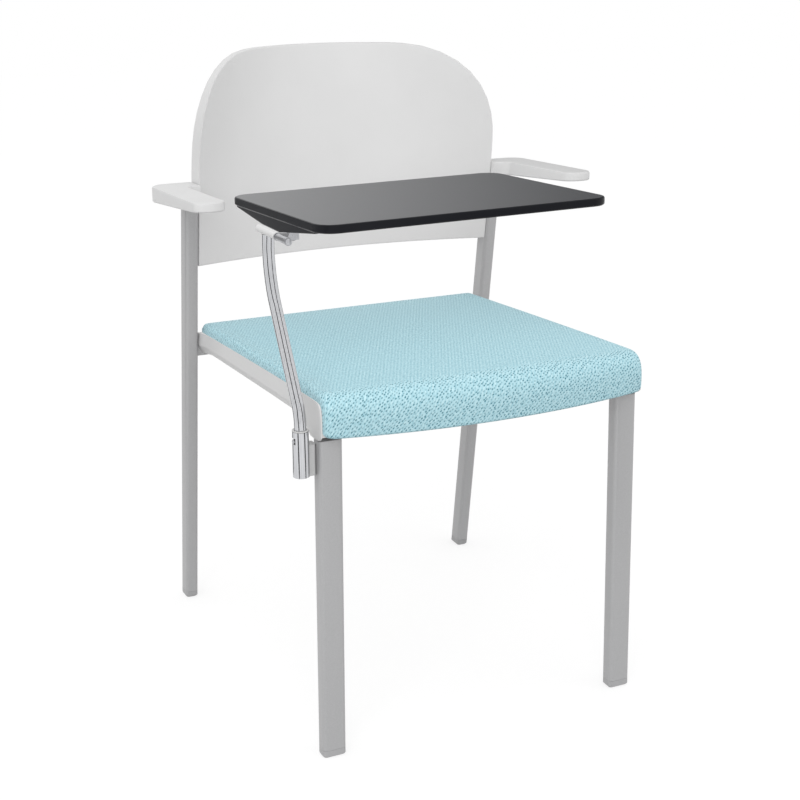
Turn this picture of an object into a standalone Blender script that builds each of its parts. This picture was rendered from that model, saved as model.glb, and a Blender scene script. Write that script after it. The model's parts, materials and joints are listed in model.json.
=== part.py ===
"""Visitor chair with armrests and a writing tablet on the sitter's right.

Metres, +Z up. The chair faces -Y, so the sitter's right is -X. The origin is on the floor under
the middle of the whole chair. The tablet arm swivels in a socket on the right front leg, and the
tablet flips up about a hinge along its outer edge.
"""
import math

import bmesh
import bpy
from mathutils import Matrix, Vector
from mathutils.geometry import interpolate_bezier

# Fits
CLEAR = 0.0003
RUNNING = 0.0003
MERGE = 0.000001

# Seat width, which sets where the legs, the back, the armrests and the tablet's socket stand
SEAT_HALF_W = 0.2245

# Front legs: oval tube, wide side to the front, leaning slightly back and inward
FRONT_FOOT_INSET = 0.0088
FRONT_FOOT_X = SEAT_HALF_W - FRONT_FOOT_INSET
FRONT_FOOT_Y = -0.2430
FRONT_LEAN_X = -0.0115
FRONT_LEAN_Y = 0.0255
FRONT_TUBE_W = 0.0315
FRONT_TUBE_D = 0.0208
FRONT_TOP_Z = 0.4284

# Rear legs: one straight raked tube from the floor to the armrest
REAR_TUBE_W = 0.0190
REAR_TUBE_D = 0.0280
REAR_SEAT_GAP = 0.0070
REAR_X = SEAT_HALF_W + REAR_SEAT_GAP + REAR_TUBE_W / 2
REAR_FOOT_Y = 0.2894
REAR_RAKE = 0.1429

TUBE_CORNER = 0.0050
TUBE_WALL = 0.0015
GLIDE_H = 0.0100
GLIDE_CHAMFER = 0.0018
GLIDE_PLUG = 0.0220

# Under-seat rails
SIDE_RAIL_GAP = 0.0015
SIDE_RAIL_W = 0.0200
SIDE_RAIL_H = 0.0200
FRONT_RAIL_D = 0.0160
FRONT_RAIL_H = 0.0215
REAR_RAIL_D = 0.0150
REAR_RAIL_H = 0.0240
RAIL_CORNER = 0.0025

# Seat: rim line of the shell, rear edge to crest to lower front edge, as (y, z)
SEAT_REAR_Z = 0.4478
SEAT_POST_SET = 0.0024
SEAT_REAR = (REAR_FOOT_Y - REAR_RAKE * SEAT_REAR_Z - SEAT_POST_SET, SEAT_REAR_Z)
SEAT_REAR_HANDLE = (0.0630, 0.4595)
SEAT_CREST_HANDLE = (-0.1400, 0.4735)
SEAT_CREST = (-0.2310, 0.4780)
FALL_CREST_HANDLE = (-0.2450, 0.4788)
FALL_END_HANDLE = (-0.2520, 0.4750)
FALL_END = (-0.2513, 0.4440)
SEAT_ROWS = 18
FALL_ROWS = 6
HEM_R = 0.0080
HEM_STEPS = (0.3, 0.6, 1.0)
SEAT_SPREAD = 0.0023
FRONT_BULGE = 0.0240
BULGE_START = 0.43
BULGE_FULL = 0.95
LIP_W = 0.0010
LIP_DRAFT = 0.0003
LIP_REAR = 0.0020
LIP_FRONT = 0.0030
SHEET_T = 0.0040
SEAT_RIB = 0.0060
SEAT_RIB_HALF_T = 0.0018
SEAT_BOSS_R = 0.0045
CREST_RIB = 0.25
SKIRT_REAR_DEPTH = 0.0315
SKIRT_FRONT_DEPTH = 0.0365
SKIRT_TURN = 0.0080
SKIRT_TURN_END_Y = -0.1950
SKIRT_WALL = 0.0030
SKIRT_FACE = 0.60
SKIRT_FLARE = REAR_SEAT_GAP - 2 * CLEAR
CHEEK_REAR_Y = -0.2100
CHEEK_REAR_Z = FRONT_TOP_Z + 2 * CLEAR
CHEEK_FRONT_Z = FRONT_TOP_Z + 4 * CLEAR
SEAT_COLUMNS = 20
SEAT_POCKET_COLUMNS = 4
SEAT_POCKET_ROWS = (7, 12, 18)

# Seat pad
PAD_COLUMNS = 16
PAD_GAP = 0.0005
PAD_PROUD_REAR = 0.0128
PAD_PROUD_FRONT = 0.0080
PAD_CREST_FILL = 0.0010
PAD_CROWN = 0.0090
PAD_FALL_CROWN = 0.0035
PAD_DRAW_IN = 0.0012
PAD_ROUND = 0.0026

# Back panel
BACK_SIDE_GAP = 0.0005
BACK_HALF_W = REAR_X - REAR_TUBE_W / 2 - BACK_SIDE_GAP
BACK_BOTTOM_Z = 0.5520
BACK_TOP_Z = 0.8460
BACK_POST_SET = 0.0183
BACK_CENTRE_Y = REAR_FOOT_Y - REAR_RAKE * BACK_BOTTOM_Z + BACK_POST_SET
BACK_RAKE = 0.2350
BACK_SWEEP = 0.01235
BACK_CORNER_W = 0.1220
BACK_CORNER_H = 0.1540
BACK_CORNER_POWER = 2.45
BACK_SKIN = 0.0045
BACK_SIDE_DEPTH = 0.0360
BACK_RIB_DEPTH = 0.0120
BACK_RIB_HALF_T = 0.0022
BACK_EDGE_ROUND = 0.0025
BACK_COLUMNS = 20
BACK_ROWS = 12
BACK_POCKET_COLUMNS = 5
BACK_POCKET_ROWS = 4
BACK_CORNER_STEPS = 12
BACK_SCREW_RISE = 0.0160
BACK_SCREW_STEP = 0.0320
BACK_SCREW_LOW_Z = BACK_BOTTOM_Z + BACK_SCREW_RISE
BACK_SCREW_Z = (BACK_SCREW_LOW_Z, BACK_SCREW_LOW_Z + BACK_SCREW_STEP)
BACK_SCREW_SET = 0.0190
BACK_BOSS_R = 0.0050
BACK_BOSS_LENGTH = 0.0055
BACK_SCREW_LENGTH = 0.0180

# Armrests
ARM_POST_GAP = 0.0015
ARM_W = 0.0430
ARM_INNER_X = REAR_X + REAR_TUBE_W / 2 + ARM_POST_GAP
ARM_OUTER_X = ARM_INNER_X + ARM_W
ARM_REACH_X = BACK_HALF_W + 2 * CLEAR
ARM_TOP_Z = 0.6830
ARM_POST_Y = REAR_FOOT_Y - REAR_RAKE * ARM_TOP_Z
ARM_TIP_Y = -0.0125
ARM_REAR_SET = 0.0239
ARM_REAR_Y = ARM_POST_Y + ARM_REAR_SET
ARM_ROOT_SET = 0.0201
ARM_ROOT_Y = ARM_POST_Y - ARM_ROOT_SET
ARM_TOP_SLOPE = -0.0520
ARM_TIP_T = 0.0122
ARM_REAR_T = 0.0231
ARM_REAR_CORNER = 0.0260
ARM_ROOT_FILLET = 0.0140
ARM_TOP_ROUND = 0.0026
ARM_UNDER_ROUND = 0.0016
ARM_SHELL_T = 0.0032
ARM_HOLLOW_SET = 0.0160
ARM_HOLLOW_END_Y = ARM_ROOT_Y - ARM_HOLLOW_SET
ARM_PLUG = 0.0380
ARM_SCREW_DROP = 0.0220

# Tablet socket on the right front leg
SOCKET_OUTSET = 0.0235
SOCKET_X = -SEAT_HALF_W - SOCKET_OUTSET
SOCKET_Y = -0.2370
ARM_TUBE_R = 0.0075
BUSH_WALL = 0.0010
SOCKET_WALL = 0.0011
SOCKET_R = ARM_TUBE_R + RUNNING + BUSH_WALL + CLEAR + SOCKET_WALL
SOCKET_BOTTOM_Z = 0.3868
SOCKET_TOP_Z = 0.4450
SOCKET_LIP_T = 0.0015
SOCKET_LIP_R = ARM_TUBE_R - BUSH_WALL
BUSH_LENGTH = 0.0062
BUSH_FLANGE_T = 0.0012
CUP_LENGTH = 0.0150
CUP_FLOOR = 0.0025
SLOT_Z = 0.4334
SLOT_START = math.radians(190.0)
SWIVEL_TRAVEL = math.radians(90.0)
PIN_R = 0.0028
PIN_PROUD = 0.0004
SLOT_PLAY = 0.0008
BRACKET_BOTTOM_Z = 0.3837
BRACKET_TOP_Z = 0.4238
BRACKET_D = 0.0140
BRACKET_SET = 0.0060
BRACKET_SCREW_SET = 0.0035
BRACKET_CORNER = 0.0020
BRACKET_SCREW_RISE = 0.0105
BRACKET_SCREW_FALL = 0.0095
BRACKET_SCREW_Z = (BRACKET_BOTTOM_Z + BRACKET_SCREW_RISE, BRACKET_TOP_Z - BRACKET_SCREW_FALL)

# Tablet arm tube, in the swivel's own frame: y is the rearward offset from the socket's axis
SWIVEL_REST = math.radians(2.3)
ARM_TUBE_WALL = 0.0015
ARM_OFFSET_Y = 0.0850
ARM_LOWER_BEND_Z = 0.4654
ARM_UPPER_BEND_Z = 0.6148
ARM_LOWER_BEND_R = 0.0600
ARM_UPPER_BEND_R = 0.1400
ARM_LOWER_BEND_STEPS = 5
ARM_UPPER_BEND_STEPS = 7

# Flip hinge, in the swivel's own frame
FLIP_X = -0.0050
FLIP_Z = 0.6735
KNUCKLE_R = 0.0047
BARREL_R = 0.0044
HINGE_PIN_R = 0.0025
LEAF_W = 0.0220
LEAF_DROP = 0.0035
LEAF_REAR_Y = 0.1000
LEAF_LENGTH = 0.0560
WASHER_T = 0.0017
WASHER_R = 0.0050
BARREL_LENGTH = 0.0290
BARREL_FOOT_W = 0.0145
BARREL_UNDER = 0.0010
BARREL_SCREW_X = 0.0098
NUT_LENGTH = 0.0034
NUT_R = 0.0042
PIN_HEAD_T = 0.0022
PIN_HEAD_R = 0.0042
TUBE_PLUG = 0.0160

# Tablet board and its carrier, in the flip hinge's own frame
BOARD_W = 0.3847
BOARD_D = 0.2806
BOARD_T = 0.0100
BOARD_CORNER = 0.0240
BOARD_OVERHANG = 0.0015
BOARD_FRONT_Y = -0.0853
BOARD_TOP_Z = 0.0296
BOARD_PITCH = math.radians(-2.42)
BOARD_TOP_ROUND = 0.0020
BOARD_UNDER_ROUND = 0.0015
CARRIER_W = 0.1045
CARRIER_END_MARGIN = 0.0240
CARRIER_FLAT_W = 0.0325
CARRIER_FLAT_FRONT_Y = 0.0420
CARRIER_FLAT_REAR_Y = 0.0930
CARRIER_ROUND = 0.0030
CARRIER_BRIM = 0.0016

# Fasteners
SCREW_R = 0.0020
SCREW_HEAD_R = 0.0040
SCREW_HEAD_T = 0.0022
SCREW_BITE = 0.0080
BOARD_SCREW_BITE = 0.0065
BOARD_SCREW_WEB = 0.0030

# Facets
ROUND = 16
SMALL_ROUND = 10
CORNER_STEPS = 3

# Finishes: linear base colour, roughness, metallic
SILVER_PAINT = ((0.42, 0.42, 0.43), 0.38, 0.55)
PALE_PLASTIC = ((0.70, 0.70, 0.70), 0.45, 0.0)
GREY_PLASTIC = ((0.30, 0.30, 0.31), 0.50, 0.0)
AQUA_FABRIC = ((0.43, 0.70, 0.76), 0.95, 0.0)
CHROME = ((0.80, 0.80, 0.82), 0.10, 1.0)
ZINC = ((0.55, 0.55, 0.56), 0.35, 1.0)
BLACK_PLASTIC = ((0.018, 0.019, 0.023), 0.40, 0.0)
TABLET_GREY = ((0.16, 0.165, 0.17), 0.35, 0.0)
NYLON = ((0.55, 0.55, 0.55), 0.45, 0.0)


def clear_scene():
    for obj in list(bpy.data.objects):
        bpy.data.objects.remove(obj, do_unlink=True)


def give_finish(obj, finish):
    colour, roughness, metallic = finish
    material = bpy.data.materials.new(obj.name + "_finish")
    material.use_nodes = True
    shader = material.node_tree.nodes["Principled BSDF"]
    shader.inputs["Base Color"].default_value = (*colour, 1.0)
    shader.inputs["Roughness"].default_value = roughness
    shader.inputs["Metallic"].default_value = metallic
    obj.data.materials.append(material)


def add_piece(name, bm, finish=None, parent=None, smooth=True):
    """Turn a finished bmesh into a named object. A piece without a finish is a cutting tool."""
    bmesh.ops.recalc_face_normals(bm, faces=bm.faces)
    mesh = bpy.data.meshes.new(name)
    bm.to_mesh(mesh)
    bm.free()
    obj = bpy.data.objects.new(name, mesh)
    bpy.context.scene.collection.objects.link(obj)
    obj.parent = parent
    if finish is None:
        obj.hide_render = True
        obj.display_type = "WIRE"
        return obj
    if smooth:
        mesh.shade_smooth()
        mesh.set_sharp_from_angle(angle=math.radians(35))
    give_finish(obj, finish)
    return obj


def combine(target, tool, operation):
    modifier = target.modifiers.new(tool.name, "BOOLEAN")
    modifier.object = tool
    modifier.operation = operation
    modifier.solver = "EXACT"


def arc(centre, radius, start, end, steps):
    points = []
    for step in range(steps + 1):
        angle = start + (end - start) * step / steps
        points.append((centre[0] + radius * math.cos(angle), centre[1] + radius * math.sin(angle)))
    return points


def rounded_rect(width, depth, radius, steps=CORNER_STEPS):
    """Outline centred on the origin, anticlockwise, with round corners."""
    points = []
    for turn, (sx, sy) in enumerate(((1, 1), (-1, 1), (-1, -1), (1, -1))):
        centre = (sx * (width / 2 - radius), sy * (depth / 2 - radius))
        start = turn * math.pi / 2
        points += arc(centre, radius, start, start + math.pi / 2, steps)
    return points


def add_loop(bm, points):
    return [bm.verts.new(point) for point in points]


def bridge(bm, loops):
    """Join neighbouring loops of equal count with faces, corner to corner."""
    for near, far in zip(loops, loops[1:]):
        for index in range(len(near)):
            bm.faces.new((near[index - 1], near[index], far[index], far[index - 1]))


def sweep(name, sections, finish=None, bores=None, parent=None, capped=False):
    """Body through a row of sections. With bores it is a tube, and its far end may be capped."""
    bm = bmesh.new()
    outer = [add_loop(bm, section) for section in sections]
    bridge(bm, outer)
    if bores is None:
        bm.faces.new(outer[0])
        bm.faces.new(outer[-1])
    else:
        inner = [add_loop(bm, bore) for bore in bores]
        bridge(bm, inner)
        bridge(bm, [outer[0], inner[0]])
        if capped:
            bm.faces.new(outer[-1])
            bm.faces.new(inner[-1])
        else:
            bridge(bm, [outer[-1], inner[-1]])
    return add_piece(name, bm, finish, parent)


def add_turned(bm, profile, place, closed, steps):
    """Spin a (radius, height) profile about the local Z axis and put it in place."""
    verts = [bm.verts.new((radius, 0.0, height)) for radius, height in profile]
    pairs = list(zip(verts, verts[1:]))
    if closed:
        pairs.append((verts[-1], verts[0]))
    edges = [bm.edges.new(pair) for pair in pairs]
    done = set(bm.verts) - set(verts)
    bmesh.ops.spin(bm, geom=verts + edges, cent=(0, 0, 0), axis=(0, 0, 1), dvec=(0, 0, 0),
                   angle=2 * math.pi, steps=steps, use_merge=True)
    fresh = [vert for vert in bm.verts if vert not in done]
    bmesh.ops.remove_doubles(bm, verts=fresh, dist=MERGE)
    fresh = [vert for vert in bm.verts if vert not in done]
    bmesh.ops.transform(bm, matrix=place, verts=fresh)


def turned(name, profile, finish=None, place=None, closed=False, steps=ROUND, parent=None):
    bm = bmesh.new()
    add_turned(bm, profile, place or Matrix(), closed, steps)
    return add_piece(name, bm, finish, parent)


def facing(at, axis):
    """Placement whose local Z points along axis from the point at."""
    turn = Vector((0, 0, 1)).rotation_difference(Vector(axis))
    return Matrix.Translation(at) @ turn.to_matrix().to_4x4()


def rod_profile(radius, start, end):
    return [(0, end), (radius, end), (radius, start), (0, start)]


def rods(name, radius, spans, parent=None, steps=SMALL_ROUND):
    """Cutting or joining tool made of round rods, each from one point to another."""
    bm = bmesh.new()
    for start, end in spans:
        axis = Vector(end) - Vector(start)
        add_turned(bm, rod_profile(radius, 0, axis.length), facing(start, axis), False, steps)
    return add_piece(name, bm, None, parent)


def screw(name, seat, axis, length, finish=ZINC, parent=None):
    """Domed screw: its head's underside is on seat and its shank runs along axis."""
    dome = SCREW_HEAD_T
    profile = [(0, -dome), (0.6 * SCREW_HEAD_R, -0.8 * dome), (SCREW_HEAD_R, -0.25 * dome),
               (SCREW_HEAD_R, 0), (SCREW_R, 0), (SCREW_R, length - SCREW_R), (0, length)]
    return turned(name, profile, finish, facing(seat, axis), steps=SMALL_ROUND, parent=parent)


def side_name(side):
    return "right" if side < 0 else "left"


def flat_section(outline, centre, height):
    return [(centre[0] + x, centre[1] + y, height) for x, y in outline]


def front_leg_centre(side, z):
    return side * (FRONT_FOOT_X + FRONT_LEAN_X * z), FRONT_FOOT_Y + FRONT_LEAN_Y * z


def rear_leg_y(z):
    return REAR_FOOT_Y - REAR_RAKE * z


def arm_top(y):
    return ARM_TOP_Z + ARM_TOP_SLOPE * (y - ARM_TIP_Y)


def arm_under(y):
    share = (y - ARM_TIP_Y) / (ARM_REAR_Y - ARM_TIP_Y)
    return arm_top(y) - ARM_TIP_T - (ARM_REAR_T - ARM_TIP_T) * share


def post_end(offset):
    """Y and Z where a line of the raked post, offset from its axis, meets the armrest's underside."""
    y = rear_leg_y(ARM_TOP_Z) + offset
    for _ in range(4):
        z = arm_under(y) - CLEAR
        y = rear_leg_y(z) + offset
    return y, z


def post_top_y():
    return post_end(0)[0]


def make_front_leg(side):
    outline = rounded_rect(FRONT_TUBE_W, FRONT_TUBE_D, TUBE_CORNER)
    bore = rounded_rect(FRONT_TUBE_W - 2 * TUBE_WALL, FRONT_TUBE_D - 2 * TUBE_WALL,
                        TUBE_CORNER - TUBE_WALL)
    sections = [flat_section(outline, front_leg_centre(side, z), z) for z in (GLIDE_H, FRONT_TOP_Z)]
    bores = [flat_section(bore, front_leg_centre(side, z), z)
             for z in (GLIDE_H, FRONT_TOP_Z - TUBE_WALL)]
    return sweep("front_leg_" + side_name(side), sections, SILVER_PAINT, bores, capped=True)


def make_rear_leg(side):
    outline = rounded_rect(REAR_TUBE_W, REAR_TUBE_D, TUBE_CORNER)
    bore = rounded_rect(REAR_TUBE_W - 2 * TUBE_WALL, REAR_TUBE_D - 2 * TUBE_WALL,
                        TUBE_CORNER - TUBE_WALL)
    foot = (side * REAR_X, rear_leg_y(GLIDE_H))

    def top(points):
        return [(side * REAR_X + x, *post_end(y)) for x, y in points]

    sections = [flat_section(outline, foot, GLIDE_H), top(outline)]
    bores = [flat_section(bore, foot, GLIDE_H), top(bore)]
    return sweep("rear_leg_" + side_name(side), sections, SILVER_PAINT, bores)


def make_glide(name, width, depth, centre_at):
    """Foot cap with a chamfered sole and a plug that fills the tube's bore."""
    plug_w = width - 2 * TUBE_WALL - 2 * CLEAR
    plug_d = depth - 2 * TUBE_WALL - 2 * CLEAR
    sole = rounded_rect(width - 2 * GLIDE_CHAMFER, depth - 2 * GLIDE_CHAMFER,
                        TUBE_CORNER - GLIDE_CHAMFER)
    cap = rounded_rect(width, depth, TUBE_CORNER)
    plug = rounded_rect(plug_w, plug_d, TUBE_CORNER - TUBE_WALL - CLEAR)
    steps = ((sole, 0.0), (cap, GLIDE_CHAMFER), (cap, GLIDE_H - CLEAR),
             (plug, GLIDE_H - CLEAR), (plug, GLIDE_H + GLIDE_PLUG))
    sections = [flat_section(outline, centre_at(z), z) for outline, z in steps]
    return sweep(name, sections, GREY_PLASTIC)


def make_glides():
    for side in (-1, 1):
        make_glide("front_glide_" + side_name(side), FRONT_TUBE_W, FRONT_TUBE_D,
                   lambda z, side=side: front_leg_centre(side, z))
        make_glide("rear_glide_" + side_name(side), REAR_TUBE_W, REAR_TUBE_D,
                   lambda z, side=side: (side * REAR_X, rear_leg_y(z)))


def seat_path():
    """Rim line from the rear edge over the crest and down the waterfall front."""
    def point(pair):
        return Vector((0.0, pair[0], pair[1]))

    top = interpolate_bezier(point(SEAT_REAR), point(SEAT_REAR_HANDLE), point(SEAT_CREST_HANDLE),
                             point(SEAT_CREST), SEAT_ROWS + 1)
    fall = interpolate_bezier(point(SEAT_CREST), point(FALL_CREST_HANDLE), point(FALL_END_HANDLE),
                              point(FALL_END), FALL_ROWS + 1)
    hem = [point((FALL_END[0], FALL_END[1] - HEM_R * step)) for step in HEM_STEPS]
    return top + fall[1:] + hem


SEAT_PATH = seat_path()
SEAT_LAST = SEAT_ROWS + FALL_ROWS + len(HEM_STEPS)


def seat_normal(row):
    """Unit vector from the rim line into the seat: down on top, rearward at the front."""
    before = SEAT_PATH[max(row - 1, 0)]
    after = SEAT_PATH[min(row + 1, SEAT_LAST)]
    along = (after - before).normalized()
    return Vector((0.0, -along.z, along.y))


def seat_share(row):
    return row / SEAT_LAST


def seat_bulge(row, x):
    """Forward bow of the seat's front edge, eased in over the front part of the seat."""
    rise = (row / SEAT_ROWS - BULGE_START) / (BULGE_FULL - BULGE_START)
    rise = min(max(rise, 0.0), 1.0)
    return FRONT_BULGE * rise * rise * (3 - 2 * rise) * (1 - (x / SEAT_HALF_W) ** 2)


def seat_spread(row):
    """Growth of the seat's width from its rear to its front edge."""
    forward = (SEAT_REAR[0] - SEAT_PATH[row].y) / (SEAT_REAR[0] - FALL_END[0])
    return 1 + SEAT_SPREAD / SEAT_HALF_W * forward


def seat_point(row, x, depth):
    point = SEAT_PATH[row] + seat_normal(row) * depth
    return Vector((x * seat_spread(row), point.y - seat_bulge(row, x), point.z))


def skirt_point(row, x, share):
    """Point on the side skirt, a share of the way down from the rim to its lower edge."""
    rim = SEAT_PATH[row]
    front = min(row / SEAT_ROWS, 1.0)
    low = rim.z - SKIRT_REAR_DEPTH - (SKIRT_FRONT_DEPTH - SKIRT_REAR_DEPTH) * front
    tuck = 0.0
    if rim.y < CHEEK_REAR_Y:
        past = max(row - SEAT_ROWS, 0) / (SEAT_LAST - SEAT_ROWS)
        low = CHEEK_REAR_Z + (CHEEK_FRONT_Z - CHEEK_REAR_Z) * past
        if past > 0:
            foot = SEAT_CREST[0] + (FALL_END[0] + shell_depth(SEAT_LAST) - SEAT_CREST[0]) * past
            tuck = (foot - rim.y) * share ** 2
    return Vector((x * seat_spread(row), rim.y + tuck - seat_bulge(row, x), rim.z + (low - rim.z) * share))


def lip_height(row):
    return LIP_REAR + (LIP_FRONT - LIP_REAR) * seat_share(row)


def sheet_height(y):
    """Height of the shell's sheet, half way through it, at a given y of the sitting surface."""
    for row in range(SEAT_ROWS):
        rear = SEAT_PATH[row]
        front = SEAT_PATH[row + 1]
        if front.y <= y <= rear.y:
            share = (rear.y - y) / (rear.y - front.y)
            return rear.z + (front.z - rear.z) * share - lip_height(row + share) - SHEET_T / 2
    return SEAT_REAR[1] - LIP_REAR - SHEET_T / 2


def rib_height(row):
    """Height of the ribs under the sheet, lower where the sheet bends over the crest."""
    from_crest = abs(row - SEAT_ROWS - FALL_ROWS / 2) / FALL_ROWS
    return SEAT_RIB * (CREST_RIB + (1 - CREST_RIB) * min(from_crest, 1.0) ** 2)


def rib_depth(row):
    return lip_height(row) + SHEET_T + rib_height(row)


def shell_depth(row):
    """Depth of the shell below its rim: the lip, the sheet and a full rib."""
    return lip_height(row) + SHEET_T + SEAT_RIB


def grid_sheet(columns, rows):
    """Grid whose vertices remember their column and row."""
    bm = bmesh.new()
    bmesh.ops.create_grid(bm, x_segments=columns, y_segments=rows, size=0.5)
    column_of = bm.verts.layers.int.new("column")
    row_of = bm.verts.layers.int.new("row")
    for vert in bm.verts:
        vert[column_of] = round((vert.co.x + 0.5) * columns)
        vert[row_of] = round((vert.co.y + 0.5) * rows)
    return bm, column_of, row_of


def extrude_all(bm, faces, keep):
    """Extrude a region. With keep the faces it started from stay as the other side."""
    edges = {edge for face in faces for edge in face.edges}
    geom = faces if keep else faces + list(edges)
    made = bmesh.ops.extrude_face_region(bm, geom=geom, use_keep_orig=keep)["geom"]
    verts = [item for item in made if isinstance(item, bmesh.types.BMVert)]
    faces = [item for item in made if isinstance(item, bmesh.types.BMFace)]
    return verts, faces


def face_block(face, column_of, row_of):
    """Lowest column and row of a grid face."""
    return (min(vert[column_of] for vert in face.verts),
            min(vert[row_of] for vert in face.verts))


def sink_pockets(bm, groups, rim, move):
    """Inset each group of faces by rim and move its inner vertices, which leaves ribs between."""
    for faces in groups:
        bmesh.ops.inset_region(bm, faces=faces, thickness=rim, depth=0.0, use_boundary=True,
                               use_even_offset=True)
        inner = {vert for face in faces for vert in face.verts}
        for vert in inner:
            move(vert)


def rail_top(y):
    """Top of the side rails: a straight line just under the shell's ribs."""
    rear_y = SEAT_REAR[0]
    front_y = SEAT_CREST[0]
    rear_z = SEAT_REAR[1] - shell_depth(0) - 2 * CLEAR
    front_z = SEAT_CREST[1] - shell_depth(SEAT_ROWS) - 2 * CLEAR
    return rear_z + (front_z - rear_z) * (y - rear_y) / (front_y - rear_y)


def skirt_inside():
    """Half the width between the skirts' inner faces."""
    return SEAT_HALF_W - SKIRT_TURN - 2 * SKIRT_WALL


def side_rail_x():
    return skirt_inside() - SIDE_RAIL_GAP - SIDE_RAIL_W / 2


def seat_screw_places():
    middle = (SEAT_REAR[0] + SEAT_CREST[0]) / 2
    spread = (SEAT_REAR[0] - SEAT_CREST[0]) / 3
    return [(side, end, side * side_rail_x(), middle + end * spread)
            for side in (-1, 1) for end in (-1, 1)]


def make_seat_shell():
    """Moulded tray: lips beside the pad, rolled side skirts and ribbed pockets underneath."""
    bm, column_of, row_of = grid_sheet(SEAT_COLUMNS, SEAT_LAST)
    last = SEAT_COLUMNS

    def column_x(vert, *insets, flared=1):
        """X of the two outer columns from their insets. The rest share the width evenly."""
        column = vert[column_of]
        from_edge = min(column, last - column)
        side = -1 if column < last / 2 else 1
        if from_edge < 2:
            flare = SKIRT_FLARE if vert[row_of] == 0 and from_edge < flared else 0.0
            return side * (SEAT_HALF_W - insets[from_edge] + flare)
        return (SEAT_HALF_W - insets[2]) * (2 * (column - 2) / (last - 4) - 1)

    def on_skirt(vert):
        return vert[column_of] in (0, 1, last - 1, last)

    for vert in bm.verts:
        x = column_x(vert, 0, LIP_W, LIP_W + LIP_DRAFT)
        depth = 0.0 if on_skirt(vert) else lip_height(vert[row_of])
        vert.co = seat_point(vert[row_of], x, depth)

    verts, faces = extrude_all(bm, bm.faces[:], True)
    for vert in verts:
        x = column_x(vert, 0, LIP_W, LIP_W + LIP_DRAFT)
        row = vert[row_of]
        if on_skirt(vert):
            vert.co = skirt_point(row, x, SKIRT_FACE)
        else:
            vert.co = seat_point(row, x, SKIRT_FACE * rib_depth(row))
    verts, faces = extrude_all(bm, faces, False)
    for vert in verts:
        row = vert[row_of]
        turn = SKIRT_TURN if SEAT_PATH[row].y > SKIRT_TURN_END_Y else 0.0
        x = column_x(vert, turn, turn + SKIRT_WALL, turn + 2 * SKIRT_WALL, flared=2)
        vert.co = skirt_point(row, x, 1.0) if on_skirt(vert) else seat_point(row, x, rib_depth(row))

    pockets = {}
    for face in faces:
        column, row = face_block(face, column_of, row_of)
        if 2 <= column < last - 2:
            key = ((column - 2) // SEAT_POCKET_COLUMNS, sum(row >= end for end in SEAT_POCKET_ROWS))
            pockets.setdefault(key, []).append(face)

    def raise_floor(vert):
        vert.co -= seat_normal(vert[row_of]) * rib_height(vert[row_of])

    sink_pockets(bm, pockets.values(), SEAT_RIB_HALF_T, raise_floor)
    shell = add_piece("seat_shell", bm, PALE_PLASTIC)

    bosses = []
    holes = []
    for _, _, x, y in seat_screw_places():
        foot = rail_top(y - SEAT_BOSS_R) + CLEAR
        bosses.append(((x, y, foot), (x, y, sheet_height(y))))
        holes.append(((x, y, foot - SHEET_T), (x, y, rail_top(y) + SCREW_BITE + CLEAR)))
    combine(shell, rods("seat_bosses", SEAT_BOSS_R, bosses), "UNION")
    combine(shell, rods("seat_screw_holes", SCREW_R + CLEAR, holes), "DIFFERENCE")


def hem_inset(row):
    """How far the pad's round lower corners draw in from its sides."""
    past = row - SEAT_ROWS - FALL_ROWS
    return HEM_R * (1 - math.sqrt(1 - HEM_STEPS[past - 1] ** 2)) if past > 0 else 0.0


def make_seat_pad():
    """Upholstered pad: crowned, drawn in between its corners, over the waterfall front."""
    bm, column_of, row_of = grid_sheet(PAD_COLUMNS, SEAT_LAST)
    half = SEAT_HALF_W - LIP_W - LIP_DRAFT - PAD_GAP

    def across(vert):
        return 2 * vert[column_of] / PAD_COLUMNS - 1

    def pad_x(vert):
        waist = PAD_DRAW_IN * math.sin(math.pi * seat_share(vert[row_of]))
        return across(vert) * (half - waist - hem_inset(vert[row_of]))

    for vert in bm.verts:
        row = vert[row_of]
        vert.co = seat_point(row, pad_x(vert), lip_height(row) - PAD_GAP)
    verts, faces = extrude_all(bm, bm.faces[:], True)
    for vert in verts:
        row = vert[row_of]
        fall = min(max((row - SEAT_ROWS) / FALL_ROWS, 0.0), 1.0)
        crest = min(row / SEAT_ROWS, 1.0) ** 3 * (1 - fall * fall)
        proud = PAD_PROUD_REAR + (PAD_PROUD_FRONT - PAD_PROUD_REAR) * seat_share(row)
        proud += PAD_CREST_FILL * crest
        crown = PAD_CROWN + (PAD_FALL_CROWN - PAD_CROWN) * fall
        rise = math.sin(math.pi * min(row / SEAT_ROWS / BULGE_START, 1.0) / 2)
        vert.co = seat_point(row, pad_x(vert), -proud - crown * rise * (1 - across(vert) ** 2))
    top = set(faces)
    rim = [edge for edge in bm.edges
           if len(edge.link_faces) == 2 and (edge.link_faces[0] in top) != (edge.link_faces[1] in top)]
    bmesh.ops.bevel(bm, geom=rim, offset=PAD_ROUND, offset_type="OFFSET", segments=2, profile=0.5,
                    affect="EDGES")
    add_piece("seat_pad", bm, AQUA_FABRIC)


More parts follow.
